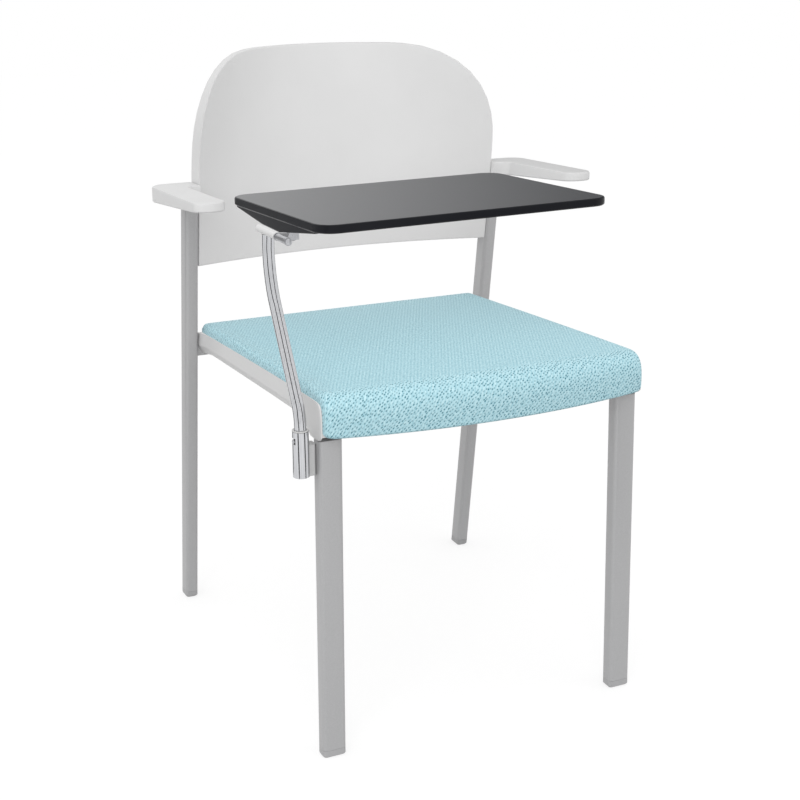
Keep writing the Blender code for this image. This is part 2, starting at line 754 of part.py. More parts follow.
def make_side_rail(side):
    outline = rounded_rect(SIDE_RAIL_W, SIDE_RAIL_H, RAIL_CORNER)
    bore = rounded_rect(SIDE_RAIL_W - 2 * TUBE_WALL, SIDE_RAIL_H - 2 * TUBE_WALL,
                        RAIL_CORNER - TUBE_WALL)

    def at(points, y):
        middle = rail_top(y) - SIDE_RAIL_H / 2
        return [(side * side_rail_x() + x, y, middle + z) for x, z in points]

    ends = (front_rail_y() + FRONT_RAIL_D / 2 + CLEAR, rear_rail_y() - REAR_RAIL_D / 2 - CLEAR)
    rail = sweep("side_rail_" + side_name(side), [at(outline, y) for y in ends], SILVER_PAINT,
                 [at(bore, y) for y in ends])
    spans = []
    for screw_side, _, x, y in seat_screw_places():
        if screw_side == side:
            under = rail_top(y) - SIDE_RAIL_H
            spans.append(((x, y, under - TUBE_WALL), (x, y, rail_top(y) + TUBE_WALL)))
    combine(rail, rods("side_rail_holes_" + side_name(side), SCREW_R + CLEAR, spans), "DIFFERENCE")


def front_rail_y():
    return front_leg_centre(1, FRONT_TOP_Z)[1] + (FRONT_TUBE_D - FRONT_RAIL_D) / 2


def rear_rail_y():
    return SEAT_REAR[0] + 2 * CLEAR + REAR_RAIL_D / 2


def make_cross_rail(name, y, depth, height, top, half_length):
    outline = rounded_rect(depth, height, RAIL_CORNER)
    bore = rounded_rect(depth - 2 * TUBE_WALL, height - 2 * TUBE_WALL, RAIL_CORNER - TUBE_WALL)

    def at(points, x):
        return [(x, y + across, top - height / 2 + up) for across, up in points]

    ends = (-half_length, half_length)
    return sweep(name, [at(outline, x) for x in ends], SILVER_PAINT, [at(bore, x) for x in ends])


def make_rails():
    make_cross_rail("front_cross_rail", front_rail_y(), FRONT_RAIL_D, FRONT_RAIL_H,
                    FRONT_TOP_Z + CLEAR + FRONT_RAIL_H, skirt_inside() - SIDE_RAIL_GAP)
    make_cross_rail("rear_cross_rail", rear_rail_y(), REAR_RAIL_D, REAR_RAIL_H,
                    rail_top(SEAT_REAR[0]), REAR_X - REAR_TUBE_W / 2 - CLEAR)
    for side in (-1, 1):
        make_side_rail(side)


def make_seat_screws():
    for side, end, x, y in seat_screw_places():
        under = rail_top(y) - SIDE_RAIL_H - 2 * CLEAR
        name = "seat_screw_" + ("front_" if end < 0 else "rear_") + side_name(side)
        screw(name, (x, y, under), (0, 0, 1), SIDE_RAIL_H + SCREW_BITE)


def back_corner(share):
    """Point on the right upper corner of the back's outline: 0 at the side, 1 at the top."""
    turn = share * math.pi / 2
    power = 2 / BACK_CORNER_POWER
    return Vector((BACK_HALF_W - BACK_CORNER_W * (1 - math.cos(turn) ** power),
                   BACK_TOP_Z - BACK_CORNER_H * (1 - math.sin(turn) ** power)))


def even_points(line, count):
    """Points evenly spaced along a polyline."""
    lengths = [0.0]
    for near, far in zip(line, line[1:]):
        lengths.append(lengths[-1] + (far - near).length)
    points = []
    for step in range(count + 1):
        want = lengths[-1] * step / count
        index = next(i for i in range(1, len(line)) if want <= lengths[i] + MERGE)
        share = (want - lengths[index - 1]) / (lengths[index] - lengths[index - 1])
        points.append(line[index - 1].lerp(line[index], share))
    return points


def back_patch():
    """Even grid over the back's outline, blended from its four edges, as rows of (x, z)."""
    half = BACK_CORNER_STEPS // 2
    corner = [back_corner(step / BACK_CORNER_STEPS) for step in range(BACK_CORNER_STEPS + 1)]
    foot = Vector((BACK_HALF_W, BACK_BOTTOM_Z))
    mirror = Vector((-1, 1))
    right = even_points([foot] + corner[:half + 1], BACK_ROWS)
    left = [point * mirror for point in right]
    upper = corner[half:]
    top = even_points([point * mirror for point in upper] + upper[::-1], BACK_COLUMNS)
    bottom = even_points([foot * mirror, foot], BACK_COLUMNS)
    rows = []
    for row in range(BACK_ROWS + 1):
        up = row / BACK_ROWS
        points = []
        for column in range(BACK_COLUMNS + 1):
            over = column / BACK_COLUMNS
            lower = left[0].lerp(right[0], over)
            higher = left[-1].lerp(right[-1], over)
            points.append(bottom[column].lerp(top[column], up) + left[row].lerp(right[row], over)
                          - lower.lerp(higher, up))
        rows.append(points)
    return rows


def back_face_y(x, z):
    """Front face: reclined along the middle, while its sides run along the posts' front faces."""
    up = z - BACK_BOTTOM_Z
    height = BACK_TOP_Z - BACK_BOTTOM_Z
    middle = BACK_CENTRE_Y + BACK_RAKE * up + BACK_SWEEP * (up / height) ** 2
    side = rear_leg_y(z) - REAR_TUBE_D / 2
    return middle + (side - middle) * (x / BACK_HALF_W) ** 2


def back_depth(x):
    return BACK_RIB_DEPTH + (BACK_SIDE_DEPTH - BACK_RIB_DEPTH) * (x / BACK_HALF_W) ** 4


def back_screw_y(z):
    return back_face_y(BACK_HALF_W, z) + BACK_SCREW_SET


def make_back_panel():
    """One-piece moulded back: conical front, edge flange and ribbed pockets behind."""
    bm, column_of, row_of = grid_sheet(BACK_COLUMNS, BACK_ROWS)
    patch = back_patch()
    for vert in bm.verts:
        x, z = patch[vert[row_of]][vert[column_of]]
        vert.co = (x, back_face_y(x, z), z)
    front = set(bm.faces)
    verts, faces = extrude_all(bm, bm.faces[:], True)
    for vert in verts:
        vert.co.y += back_depth(vert.co.x)

    pockets = {}
    for face in faces:
        column, row = face_block(face, column_of, row_of)
        key = (column // BACK_POCKET_COLUMNS, row // BACK_POCKET_ROWS)
        pockets.setdefault(key, []).append(face)

    def push_forward(vert):
        vert.co.y = back_face_y(vert.co.x, vert.co.z) + BACK_SKIN

    sink_pockets(bm, pockets.values(), BACK_RIB_HALF_T, push_forward)
    rim = [edge for edge in bm.edges
           if len(edge.link_faces) == 2
           and (edge.link_faces[0] in front) != (edge.link_faces[1] in front)]
    bmesh.ops.bevel(bm, geom=rim, offset=BACK_EDGE_ROUND, offset_type="OFFSET", segments=2,
                    profile=0.5, affect="EDGES")
    panel = add_piece("back_panel", bm, PALE_PLASTIC)

    bosses = []
    holes = []
    for side in (-1, 1):
        for z in BACK_SCREW_Z:
            y = back_screw_y(z)
            wall = side * (BACK_HALF_W - BACK_RIB_HALF_T / 2)
            seat = side * (BACK_HALF_W - BACK_BOSS_LENGTH)
            bosses.append(((wall, y, z), (seat, y, z)))
            holes.append(((seat - side * SHEET_T, y, z), (side * (BACK_HALF_W + SHEET_T), y, z)))
    combine(panel, rods("back_bosses", BACK_BOSS_R, bosses), "UNION")
    combine(panel, rods("back_screw_holes", SCREW_R + CLEAR, holes), "DIFFERENCE")


def make_back_screws(legs):
    """Screws out of the back's side pockets into the posts, two on each side."""
    for side, leg in zip((-1, 1), legs):
        spans = []
        for place, z in zip(("lower", "upper"), BACK_SCREW_Z):
            y = back_screw_y(z)
            seat = BACK_HALF_W - BACK_BOSS_LENGTH - CLEAR
            name = "back_screw_" + place + "_" + side_name(side)
            screw(name, (side * seat, y, z), (side, 0, 0), BACK_SCREW_LENGTH)
            spans.append(((side * seat, y, z), (side * REAR_X, y, z)))
        combine(leg, rods("back_holes_" + side_name(side), SCREW_R + CLEAR, spans), "DIFFERENCE")


def arm_outline(side):
    """Plan of the armrest: round tip, outer rear corner, inward root with a concave fillet."""
    tip_r = (ARM_OUTER_X - ARM_INNER_X) / 2
    tip = (ARM_INNER_X + tip_r, ARM_TIP_Y + tip_r)
    corner = (ARM_OUTER_X - ARM_REAR_CORNER, ARM_REAR_Y - ARM_REAR_CORNER)
    fillet = (ARM_INNER_X - ARM_ROOT_FILLET, ARM_ROOT_Y - ARM_ROOT_FILLET)
    points = arc(tip, tip_r, math.pi, 2 * math.pi, 3 * CORNER_STEPS)
    points += arc(corner, ARM_REAR_CORNER, 0, math.pi / 2, 2 * CORNER_STEPS)
    points += [(ARM_REACH_X, ARM_REAR_Y), (ARM_REACH_X, ARM_ROOT_Y)]
    points += arc(fillet, ARM_ROOT_FILLET, math.pi / 2, 0, CORNER_STEPS)
    return [(side * x, y) for x, y in points]


def arm_screw_place(side):
    z = arm_under(post_top_y()) - ARM_SCREW_DROP
    rear_face = rear_leg_y(z) + REAR_TUBE_D / 2
    return Vector((side * REAR_X, rear_face + CLEAR, z))


def make_armrest(side):
    name = "armrest_" + side_name(side)
    bm = bmesh.new()
    base = bm.faces.new([bm.verts.new((x, y, 0.0)) for x, y in arm_outline(side)])
    verts, faces = extrude_all(bm, [base], True)
    top = set(verts)
    for vert in bm.verts:
        vert.co.z = arm_top(vert.co.y) if vert in top else arm_under(vert.co.y)
    upper = [edge for edge in faces[0].edges]
    bmesh.ops.bevel(bm, geom=upper, offset=ARM_TOP_ROUND, offset_type="OFFSET", segments=2,
                    profile=0.5, affect="EDGES")
    bmesh.ops.bevel(bm, geom=list(base.edges), offset=ARM_UNDER_ROUND, offset_type="OFFSET",
                    segments=1, profile=0.5, affect="EDGES")
    bmesh.ops.bisect_plane(bm, geom=bm.verts[:] + bm.edges[:] + bm.faces[:], dist=MERGE,
                           plane_co=(0, ARM_HOLLOW_END_Y, 0), plane_no=(0, 1, 0))
    bm.normal_update()
    hollow = max((face for face in bm.faces
                  if face.calc_center_median().y < ARM_HOLLOW_END_Y
                  and face.calc_center_median().z < arm_under(face.calc_center_median().y) + MERGE * 50),
                 key=lambda face: face.calc_area())
    bmesh.ops.inset_region(bm, faces=[hollow], thickness=ARM_SHELL_T, use_boundary=True,
                           use_even_offset=True)
    for vert in hollow.verts:
        vert.co.z = arm_top(vert.co.y) - ARM_SHELL_T
    arm = add_piece(name, bm, PALE_PLASTIC)

    plug = rounded_rect(REAR_TUBE_W - 2 * TUBE_WALL - 2 * CLEAR, REAR_TUBE_D - 2 * TUBE_WALL - 2 * CLEAR,
                        TUBE_CORNER - TUBE_WALL - CLEAR)
    root = arm_under(post_top_y())
    heights = (root - ARM_PLUG, root + ARM_REAR_T / 2)
    sections = [flat_section(plug, (side * REAR_X, rear_leg_y(z)), z) for z in heights]
    combine(arm, sweep("arm_plug_" + side_name(side), sections), "UNION")
    place = arm_screw_place(side)
    deep = place - Vector((0, TUBE_WALL + SCREW_BITE + 2 * CLEAR, 0))
    hole = rods("arm_screw_hole_" + side_name(side), SCREW_R + CLEAR, [(place, deep)])
    combine(arm, hole, "DIFFERENCE")


def make_arm_screws(legs):
    for side, leg in zip((-1, 1), legs):
        place = arm_screw_place(side)
        seat = place + Vector((0, SCREW_HEAD_R * REAR_RAKE, 0))
        screw("armrest_screw_" + side_name(side), seat, (0, -1, 0), TUBE_WALL + SCREW_BITE)
        inside = place - Vector((0, 3 * TUBE_WALL, 0))
        hole = rods("arm_post_hole_" + side_name(side), SCREW_R + CLEAR,
                    [(seat + Vector((0, TUBE_WALL, 0)), inside)])
        combine(leg, hole, "DIFFERENCE")


def make_socket():
    """Turned sleeve with a bottom lip and a stop slot part of the way round."""
    bore = SOCKET_R - SOCKET_WALL
    lip_top = SOCKET_BOTTOM_Z + SOCKET_LIP_T
    profile = [(SOCKET_R, SOCKET_TOP_Z), (SOCKET_R, SOCKET_BOTTOM_Z), (SOCKET_LIP_R, SOCKET_BOTTOM_Z),
               (SOCKET_LIP_R, lip_top), (bore, lip_top), (bore, SOCKET_TOP_Z)]
    place = Matrix.Translation((SOCKET_X, SOCKET_Y, 0))
    socket = turned("tablet_socket", profile, CHROME, place, closed=True, steps=2 * ROUND)

    bm = bmesh.new()
    half = PIN_R + RUNNING + SLOT_PLAY
    inner = bore - SOCKET_WALL
    outer = SOCKET_R + SOCKET_WALL
    corners = ((inner, -half), (outer, -half), (outer, half), (inner, half))
    face = bm.faces.new([bm.verts.new((r, 0, SLOT_Z + z)) for r, z in corners])
    margin = (PIN_R + RUNNING) / bore
    start = SLOT_START + SWIVEL_REST + margin
    sweep_angle = -(SWIVEL_TRAVEL + 2 * margin)
    bmesh.ops.rotate(bm, cent=(0, 0, 0), matrix=Matrix.Rotation(start, 3, "Z"), verts=bm.verts)
    bmesh.ops.spin(bm, geom=[face] + list(face.edges) + list(face.verts), cent=(0, 0, 0), axis=(0, 0, 1),
                   dvec=(0, 0, 0), angle=sweep_angle, steps=ROUND // 2)
    bmesh.ops.translate(bm, vec=(SOCKET_X, SOCKET_Y, 0), verts=bm.verts)
    close_spun_ends(bm)
    combine(socket, add_piece("stop_slot", bm), "DIFFERENCE")


def close_spun_ends(bm):
    """A part turn leaves its start open: cap every open loop."""
    open_edges = [edge for edge in bm.edges if len(edge.link_faces) == 1]
    bmesh.ops.holes_fill(bm, edges=open_edges, sides=0)


def make_bushes():
    bore = ARM_TUBE_R + RUNNING
    outside = SOCKET_R - SOCKET_WALL - CLEAR
    place = Matrix.Translation((SOCKET_X, SOCKET_Y, 0))
    seat = SOCKET_TOP_Z + CLEAR
    profile = [(bore, seat + BUSH_FLANGE_T), (SOCKET_R, seat + BUSH_FLANGE_T), (SOCKET_R, seat),
               (outside, seat), (outside, seat - BUSH_LENGTH), (bore, seat - BUSH_LENGTH)]
    turned("upper_bush", profile, NYLON, place, closed=True)
    floor = SOCKET_BOTTOM_Z + SOCKET_LIP_T + CLEAR
    profile = [(0, floor + CUP_FLOOR), (bore, floor + CUP_FLOOR), (bore, floor + CUP_LENGTH),
               (outside, floor + CUP_LENGTH), (outside, floor), (0, floor)]
    turned("lower_bush", profile, NYLON, place)


def leg_outer_x(z):
    return -(front_leg_centre(1, z)[0] + FRONT_TUBE_W / 2)


def make_bracket(leg):
    """Saddle between the socket and the leg's outer face, screwed through the leg."""
    def section(z):
        leg_face = leg_outer_x(z) - CLEAR
        width = leg_face - SOCKET_X
        outline = rounded_rect(width, BRACKET_D, BRACKET_CORNER)
        centre = (SOCKET_X + width / 2, front_leg_centre(-1, z)[1] + BRACKET_SET)
        return flat_section(outline, centre, z)

    bracket = sweep("socket_bracket", [section(z) for z in (BRACKET_BOTTOM_Z, BRACKET_TOP_Z)], PALE_PLASTIC)
    clear_of_socket = rods("bracket_saddle", SOCKET_R + CLEAR,
                           [((SOCKET_X, SOCKET_Y, BRACKET_BOTTOM_Z - SOCKET_WALL),
                             (SOCKET_X, SOCKET_Y, BRACKET_TOP_Z + SOCKET_WALL))], steps=2 * ROUND)
    combine(bracket, clear_of_socket, "DIFFERENCE")
    leg_holes = []
    for place, z in zip(("lower", "upper"), BRACKET_SCREW_Z):
        y = front_leg_centre(-1, z)[1] + BRACKET_SCREW_SET
        inner_face = leg_outer_x(z) + FRONT_TUBE_W
        seat = (inner_face + CLEAR + SCREW_HEAD_R * -FRONT_LEAN_X, y, z)
        screw("bracket_screw_" + place, seat, (-1, 0, 0), FRONT_TUBE_W + SCREW_BITE)
        tip = leg_outer_x(z) - SCREW_BITE - CLEAR
        leg_holes.append(((seat[0] + TUBE_WALL, y, z), (tip, y, z)))
    combine(leg, rods("bracket_leg_holes", SCREW_R + CLEAR, leg_holes), "DIFFERENCE")
    combine(bracket, rods("bracket_holes", SCREW_R + CLEAR, leg_holes), "DIFFERENCE")


def arm_path():
    """Centre line of the tablet arm in its own YZ plane: straight, bend, straight, bend, straight."""
    rise = ARM_UPPER_BEND_Z - ARM_LOWER_BEND_Z
    lean = math.atan2(ARM_OFFSET_Y, rise)
    foot_z = SOCKET_BOTTOM_Z + SOCKET_LIP_T + CUP_FLOOR + 2 * CLEAR
    head_z = FLIP_Z - KNUCKLE_R - CLEAR
    lower_reach = ARM_LOWER_BEND_R * math.tan(lean / 2)
    upper_reach = ARM_UPPER_BEND_R * math.tan(lean / 2)
    path = [((0.0, foot_z), 0.0)]
    centre = (ARM_LOWER_BEND_R, ARM_LOWER_BEND_Z - lower_reach)
    for step in range(ARM_LOWER_BEND_STEPS + 1):
        turn = lean * step / ARM_LOWER_BEND_STEPS
        point = (centre[0] - ARM_LOWER_BEND_R * math.cos(turn),
                 centre[1] + ARM_LOWER_BEND_R * math.sin(turn))
        path.append((point, turn))
    centre = (ARM_OFFSET_Y - ARM_UPPER_BEND_R, ARM_UPPER_BEND_Z + upper_reach)
    for step in range(ARM_UPPER_BEND_STEPS, -1, -1):
        turn = lean * step / ARM_UPPER_BEND_STEPS
        point = (centre[0] + ARM_UPPER_BEND_R * math.cos(turn),
                 centre[1] - ARM_UPPER_BEND_R * math.sin(turn))
        path.append((point, turn))
    path.append(((ARM_OFFSET_Y, head_z), 0.0))
    return path


def make_tablet_arm(swivel):
    def ring(radius, point, lean):
        """Circle square to the centre line, which leans rearward by lean."""
        circle = arc((0, 0), radius, 0, 2 * math.pi, ROUND)[:-1]
        return [(x, point[0] + y * math.cos(lean), point[1] - y * math.sin(lean)) for x, y in circle]

    path = arm_path()
    sections = [ring(ARM_TUBE_R, point, lean) for point, lean in path]
    bores = [ring(ARM_TUBE_R - ARM_TUBE_WALL, point, lean) for point, lean in path]
    tube = sweep("tablet_arm", sections, CHROME, bores, parent=swivel)

    out = Vector((math.cos(SLOT_START), math.sin(SLOT_START), 0))
    at = Vector((0, 0, SLOT_Z))
    reach = SOCKET_R + PIN_PROUD
    root = ARM_TUBE_R - 2 * ARM_TUBE_WALL
    turned("stop_pin", rod_profile(PIN_R, root, reach), ZINC, facing(at, out), steps=SMALL_ROUND,
           parent=swivel)
    hole = rods("stop_pin_hole", PIN_R + CLEAR, [(at + out * root, at + out * reach)], swivel)
    combine(tube, hole, "DIFFERENCE")


def hinge_y(offset):
    """Place along the hinge, counted forward from the leaf's rear end."""
    return LEAF_REAR_Y - offset


def knuckle_outline(radius, width, rise, under):
    """Knuckle about the hinge axis with a flat foot running inward, raised above the knuckle by rise."""
    start = math.asin(under / radius)
    knuckle = arc((0, 0), radius, start, -3 * math.pi / 2, 3 * CORNER_STEPS)
    top = radius + rise
    return knuckle + [(radius / 2, top), (width, top), (width, under)]


def make_hinge(swivel, flip):
    """Leaf on the tube's head, pin, washers and nut, and the barrel that turns with the tablet."""
    axis = (0, -1, 0)
    leaf_end = LEAF_LENGTH
    barrel_start = leaf_end + WASHER_T + 2 * CLEAR
    barrel_end = barrel_start + BARREL_LENGTH
    pin_start = -CLEAR
    nut_start = barrel_end + WASHER_T + 2 * CLEAR

    def swivel_point(offset):
        return Vector((FLIP_X, hinge_y(offset), FLIP_Z))

    def leaf_section(offset):
        outline = knuckle_outline(KNUCKLE_R, LEAF_W, 0, -LEAF_DROP)
        return [(FLIP_X + x, hinge_y(offset), FLIP_Z + z) for x, z in outline]

    leaf = sweep("hinge_leaf", [leaf_section(0), leaf_section(leaf_end)], PALE_PLASTIC, parent=swivel)
    head_z = FLIP_Z - KNUCKLE_R
    plug_r = ARM_TUBE_R - ARM_TUBE_WALL - CLEAR
    profile = [(0, FLIP_Z), (plug_r, FLIP_Z), (plug_r, FLIP_Z - LEAF_DROP / 2),
               (ARM_TUBE_R, FLIP_Z - LEAF_DROP / 2), (ARM_TUBE_R, head_z), (plug_r, head_z),
               (plug_r, head_z - TUBE_PLUG), (0, head_z - TUBE_PLUG)]
    plug = turned("leaf_plug", profile, None, Matrix.Translation((0, ARM_OFFSET_Y, 0)), parent=swivel)
    combine(leaf, plug, "UNION")
    bore_r = HINGE_PIN_R + RUNNING
    leaf_bore = rods("leaf_bore", bore_r, [(swivel_point(-PIN_HEAD_T), swivel_point(leaf_end + CUP_FLOOR))],
                     swivel, ROUND)
    combine(leaf, leaf_bore, "DIFFERENCE")

    pin_end = nut_start + NUT_LENGTH / 2
    head = [(0, -PIN_HEAD_T), (PIN_HEAD_R - WASHER_T / 2, -PIN_HEAD_T), (PIN_HEAD_R, -PIN_HEAD_T / 2),
            (PIN_HEAD_R, 0), (HINGE_PIN_R, 0), (HINGE_PIN_R, pin_end), (0, pin_end)]
    turned("hinge_pin", head, ZINC, facing(swivel_point(pin_start), axis), steps=ROUND, parent=swivel)
    for name, start in (("hinge_washer_rear", leaf_end + CLEAR), ("hinge_washer_front", barrel_end + CLEAR)):
        ring = [(WASHER_R, 0), (WASHER_R, WASHER_T), (bore_r, WASHER_T), (bore_r, 0)]
        turned(name, ring, CHROME, facing(swivel_point(start), axis), closed=True, parent=swivel)
    hollow = pin_end - pin_start - nut_start + CLEAR
    nut = [(0, NUT_LENGTH), (NUT_R / 2, 0.94 * NUT_LENGTH), (0.85 * NUT_R, 0.7 * NUT_LENGTH),
           (NUT_R, 0.3 * NUT_LENGTH), (NUT_R, 0), (bore_r, 0), (bore_r, hollow), (0, hollow)]
    turned("hinge_nut", nut, CHROME, facing(swivel_point(nut_start), axis), parent=swivel)

    def barrel_section(offset):
        y = hinge_y(offset)
        rise = carrier_under(y) - CLEAR - BARREL_R
        return [(x, y, z) for x, z in knuckle_outline(BARREL_R, BARREL_FOOT_W, rise, BARREL_UNDER)]

    barrel = sweep("hinge_barrel", [barrel_section(barrel_start), barrel_section(barrel_end)], CHROME,
                   parent=flip)
    barrel_bore = rods("barrel_bore", bore_r, [((0, hinge_y(leaf_end), 0), (0, hinge_y(nut_start), 0))],
                       flip, ROUND)
    combine(barrel, barrel_bore, "DIFFERENCE")

    spans = []
    for name, share in (("rear", 0.25), ("front", 0.75)):
        y = hinge_y(barrel_start + share * BARREL_LENGTH)
        x = BARREL_SCREW_X
        tip = carrier_under(y) + SCREW_BITE
        seat = (x, y, BARREL_UNDER - CLEAR)
        screw("barrel_screw_" + name, seat, (0, 0, 1), tip - BARREL_UNDER, parent=flip)
        spans.append(((x, y, BARREL_UNDER - SHEET_T), (x, y, tip + CLEAR)))
    combine(barrel, rods("barrel_screw_holes", SCREW_R + CLEAR, spans, flip), "DIFFERENCE")
    return spans


def board_left():
    return -BOARD_OVERHANG


def board_rear_y():
    return BOARD_FRONT_Y + BOARD_D


def board_plane():
    """Placement of the board's plane: its middle at the board's top centre, tilted to the sitter."""
    middle = Vector((board_left() + BOARD_W / 2, BOARD_FRONT_Y + BOARD_D / 2, BOARD_TOP_Z))
    return Matrix.Translation(middle) @ Matrix.Rotation(BOARD_PITCH, 4, "X")


def board_under(y):
    """Height of the board's underside at a place along the hinge."""
    middle = BOARD_FRONT_Y + BOARD_D / 2
    return BOARD_TOP_Z - BOARD_T / math.cos(BOARD_PITCH) + (y - middle) * math.tan(BOARD_PITCH)


def carrier_floor():
    return KNUCKLE_R + CLEAR


def carrier_ends():
    return BOARD_FRONT_Y + CARRIER_END_MARGIN, board_rear_y() - CARRIER_END_MARGIN


def carrier_under(y):
    """Underside of the carrier beside the hinge: a flat between two slopes up to the brim."""
    front, rear = carrier_ends()
    share = 0.0
    end = front
    if y < CARRIER_FLAT_FRONT_Y:
        share = (CARRIER_FLAT_FRONT_Y - y) / (CARRIER_FLAT_FRONT_Y - front)
    if y > CARRIER_FLAT_REAR_Y:
        share = (y - CARRIER_FLAT_REAR_Y) / (rear - CARRIER_FLAT_REAR_Y)
        end = rear
    brim = board_under(end) - CLEAR - CARRIER_BRIM
    return carrier_floor() + (brim - carrier_floor()) * share


def board_screw_places():
    left = board_left()
    edge_x = left + CARRIER_FLAT_W / 2
    slope_x = left + (CARRIER_FLAT_W + CARRIER_W) / 2
    front, rear = carrier_ends()
    middle = (CARRIER_FLAT_FRONT_Y + CARRIER_FLAT_REAR_Y) / 2
    quarter = (CARRIER_FLAT_REAR_Y - CARRIER_FLAT_FRONT_Y) / 2
    return (("front", edge_x, (CARRIER_FLAT_FRONT_Y + front) / 2),
            ("rear", edge_x, (CARRIER_FLAT_REAR_Y + rear) / 2),
            ("inner_front", slope_x, middle - quarter),
            ("inner_rear", slope_x, middle + quarter))


def make_tablet(flip, barrel_holes):
    """Board, the moulded carrier under its outer edge, and the screws between them."""
    outline = rounded_rect(BOARD_W, BOARD_D, BOARD_CORNER, 2 * CORNER_STEPS)
    bm = bmesh.new()
    base = bm.faces.new([bm.verts.new((x, y, -BOARD_T)) for x, y in outline])
    verts, faces = extrude_all(bm, [base], True)
    bmesh.ops.translate(bm, vec=(0, 0, BOARD_T), verts=verts)
    bmesh.ops.bevel(bm, geom=list(faces[0].edges), offset=BOARD_TOP_ROUND, offset_type="OFFSET",
                    segments=2, profile=0.5, affect="EDGES")
    bmesh.ops.bevel(bm, geom=list(base.edges), offset=BOARD_UNDER_ROUND, offset_type="OFFSET",
                    segments=1, profile=0.5, affect="EDGES")
    bmesh.ops.transform(bm, matrix=board_plane(), verts=bm.verts)
    board = add_piece("tablet_board", bm, TABLET_GREY, flip)

    left = board_left() + BOARD_UNDER_ROUND

    def carrier_section(y):
        top = board_under(y) - CLEAR
        brim = top - CARRIER_BRIM
        under = min(carrier_under(y), brim)
        turn = min(CARRIER_ROUND, (top - under) / 2)
        corner = arc((left + turn, under + turn), turn, math.pi, 3 * math.pi / 2, CORNER_STEPS)
        flat_end = (left + CARRIER_FLAT_W, under)
        outline = [(left, top)] + corner + [flat_end, (left + CARRIER_W, brim), (left + CARRIER_W, top)]
        return [(x, y, z) for x, z in outline]

    front, rear = carrier_ends()
    places = (front, CARRIER_FLAT_FRONT_Y, CARRIER_FLAT_REAR_Y, rear)
    carrier = sweep("tablet_carrier", [carrier_section(y) for y in places], BLACK_PLASTIC, parent=flip)

    carrier_holes = []
    board_holes = []
    recesses = []
    for name, x, y in board_screw_places():
        ceiling = board_under(y)
        seat = ceiling - BOARD_SCREW_WEB
        screw("board_screw_" + name, (x, y, seat - CLEAR), (0, 0, 1), BOARD_SCREW_WEB + BOARD_SCREW_BITE,
              parent=flip)
        carrier_holes.append(((x, y, seat - SCREW_HEAD_T), (x, y, ceiling + CLEAR)))
        board_holes.append(((x, y, ceiling - BOARD_UNDER_ROUND), (x, y, ceiling + BOARD_SCREW_BITE + CLEAR)))
        recesses.append(((x, y, carrier_floor() - SCREW_HEAD_T), (x, y, seat)))
    combine(carrier, rods("carrier_recesses", SCREW_HEAD_R + CLEAR, recesses, flip), "DIFFERENCE")
    carrier_holes += barrel_holes
    combine(carrier, rods("carrier_holes", SCREW_R + CLEAR, carrier_holes, flip), "DIFFERENCE")
    combine(board, rods("board_holes", SCREW_R + CLEAR, board_holes, flip), "DIFFERENCE")


def add_axis(name, location, parent=None):
    empty = bpy.data.objects.new(name, None)
    bpy.context.scene.collection.objects.link(empty)
    empty.parent = parent
    empty.location = location
    return empty


def main():
    clear_scene()
    front_legs = [make_front_leg(side) for side in (-1, 1)]
    rear_legs = [make_rear_leg(side) for side in (-1, 1)]
    make_glides()
    make_rails()
    make_seat_shell()
    make_seat_pad()
    make_seat_screws()
    make_back_panel()
    make_back_screws(rear_legs)
    for side in (-1, 1):
        make_armrest(side)
    make_arm_screws(rear_legs)
    make_socket()
    make_bushes()
    make_bracket(front_legs[0])
    swivel = add_axis("swivel_axis", (SOCKET_X, SOCKET_Y, 0))
    swivel.rotation_euler.z = SWIVEL_REST
    flip = add_axis("flip_axis", (FLIP_X, 0, FLIP_Z), swivel)
    make_tablet_arm(swivel)
    barrel_holes = make_hinge(swivel, flip)
    make_tablet(flip, barrel_holes)
    bpy.context.view_layer.update()


main()
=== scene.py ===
"""Looks of the visitor chair with a writing tablet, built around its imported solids."""

import json
import math

import bmesh
import bpy
from mathutils import Matrix, Vector
from mathutils.geometry import interpolate_bezier


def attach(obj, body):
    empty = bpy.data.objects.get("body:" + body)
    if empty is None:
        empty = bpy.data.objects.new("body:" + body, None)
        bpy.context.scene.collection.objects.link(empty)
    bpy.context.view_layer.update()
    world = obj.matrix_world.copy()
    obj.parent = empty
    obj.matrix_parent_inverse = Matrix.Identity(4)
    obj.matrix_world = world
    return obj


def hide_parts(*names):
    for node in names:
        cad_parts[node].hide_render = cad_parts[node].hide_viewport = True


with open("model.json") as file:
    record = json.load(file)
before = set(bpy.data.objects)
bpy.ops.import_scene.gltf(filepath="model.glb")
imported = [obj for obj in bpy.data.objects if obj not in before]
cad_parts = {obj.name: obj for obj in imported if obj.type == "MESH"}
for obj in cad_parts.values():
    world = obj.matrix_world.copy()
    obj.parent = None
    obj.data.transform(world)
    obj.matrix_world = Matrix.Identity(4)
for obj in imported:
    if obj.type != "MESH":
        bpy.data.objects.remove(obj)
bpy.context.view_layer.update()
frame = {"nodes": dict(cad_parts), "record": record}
nodes = frame["nodes"]
# Lengths are in metres, unless a comment says millimetres.
MM = 0.001
# Keeps a division clear of zero.
TINY = 1e-9
# Size that makes create_grid's square 1 long.
UNIT_GRID = 0.5


# Camera, lamps and stage

# The camera's turn is in degrees, its lens and sensor in millimetres.
CAMERA_PLACE = (-0.8497, -1.8109, 1.0405)
CAMERA_TURN = (71.675, 0.0, -24.982)
CAMERA_LENS = 67.05
SENSOR_WIDTH = 36.0
# Strength of the white world as a light, and the share of the floor's white that takes the shadow.
FILL_LEVEL = 0.89
FLOOR_SHADOW = 0.30
FLOOR_SIZE = 8.0
# Keeps the floor just clear of the glides.
FLOOR_GAP = 0.3 * MM
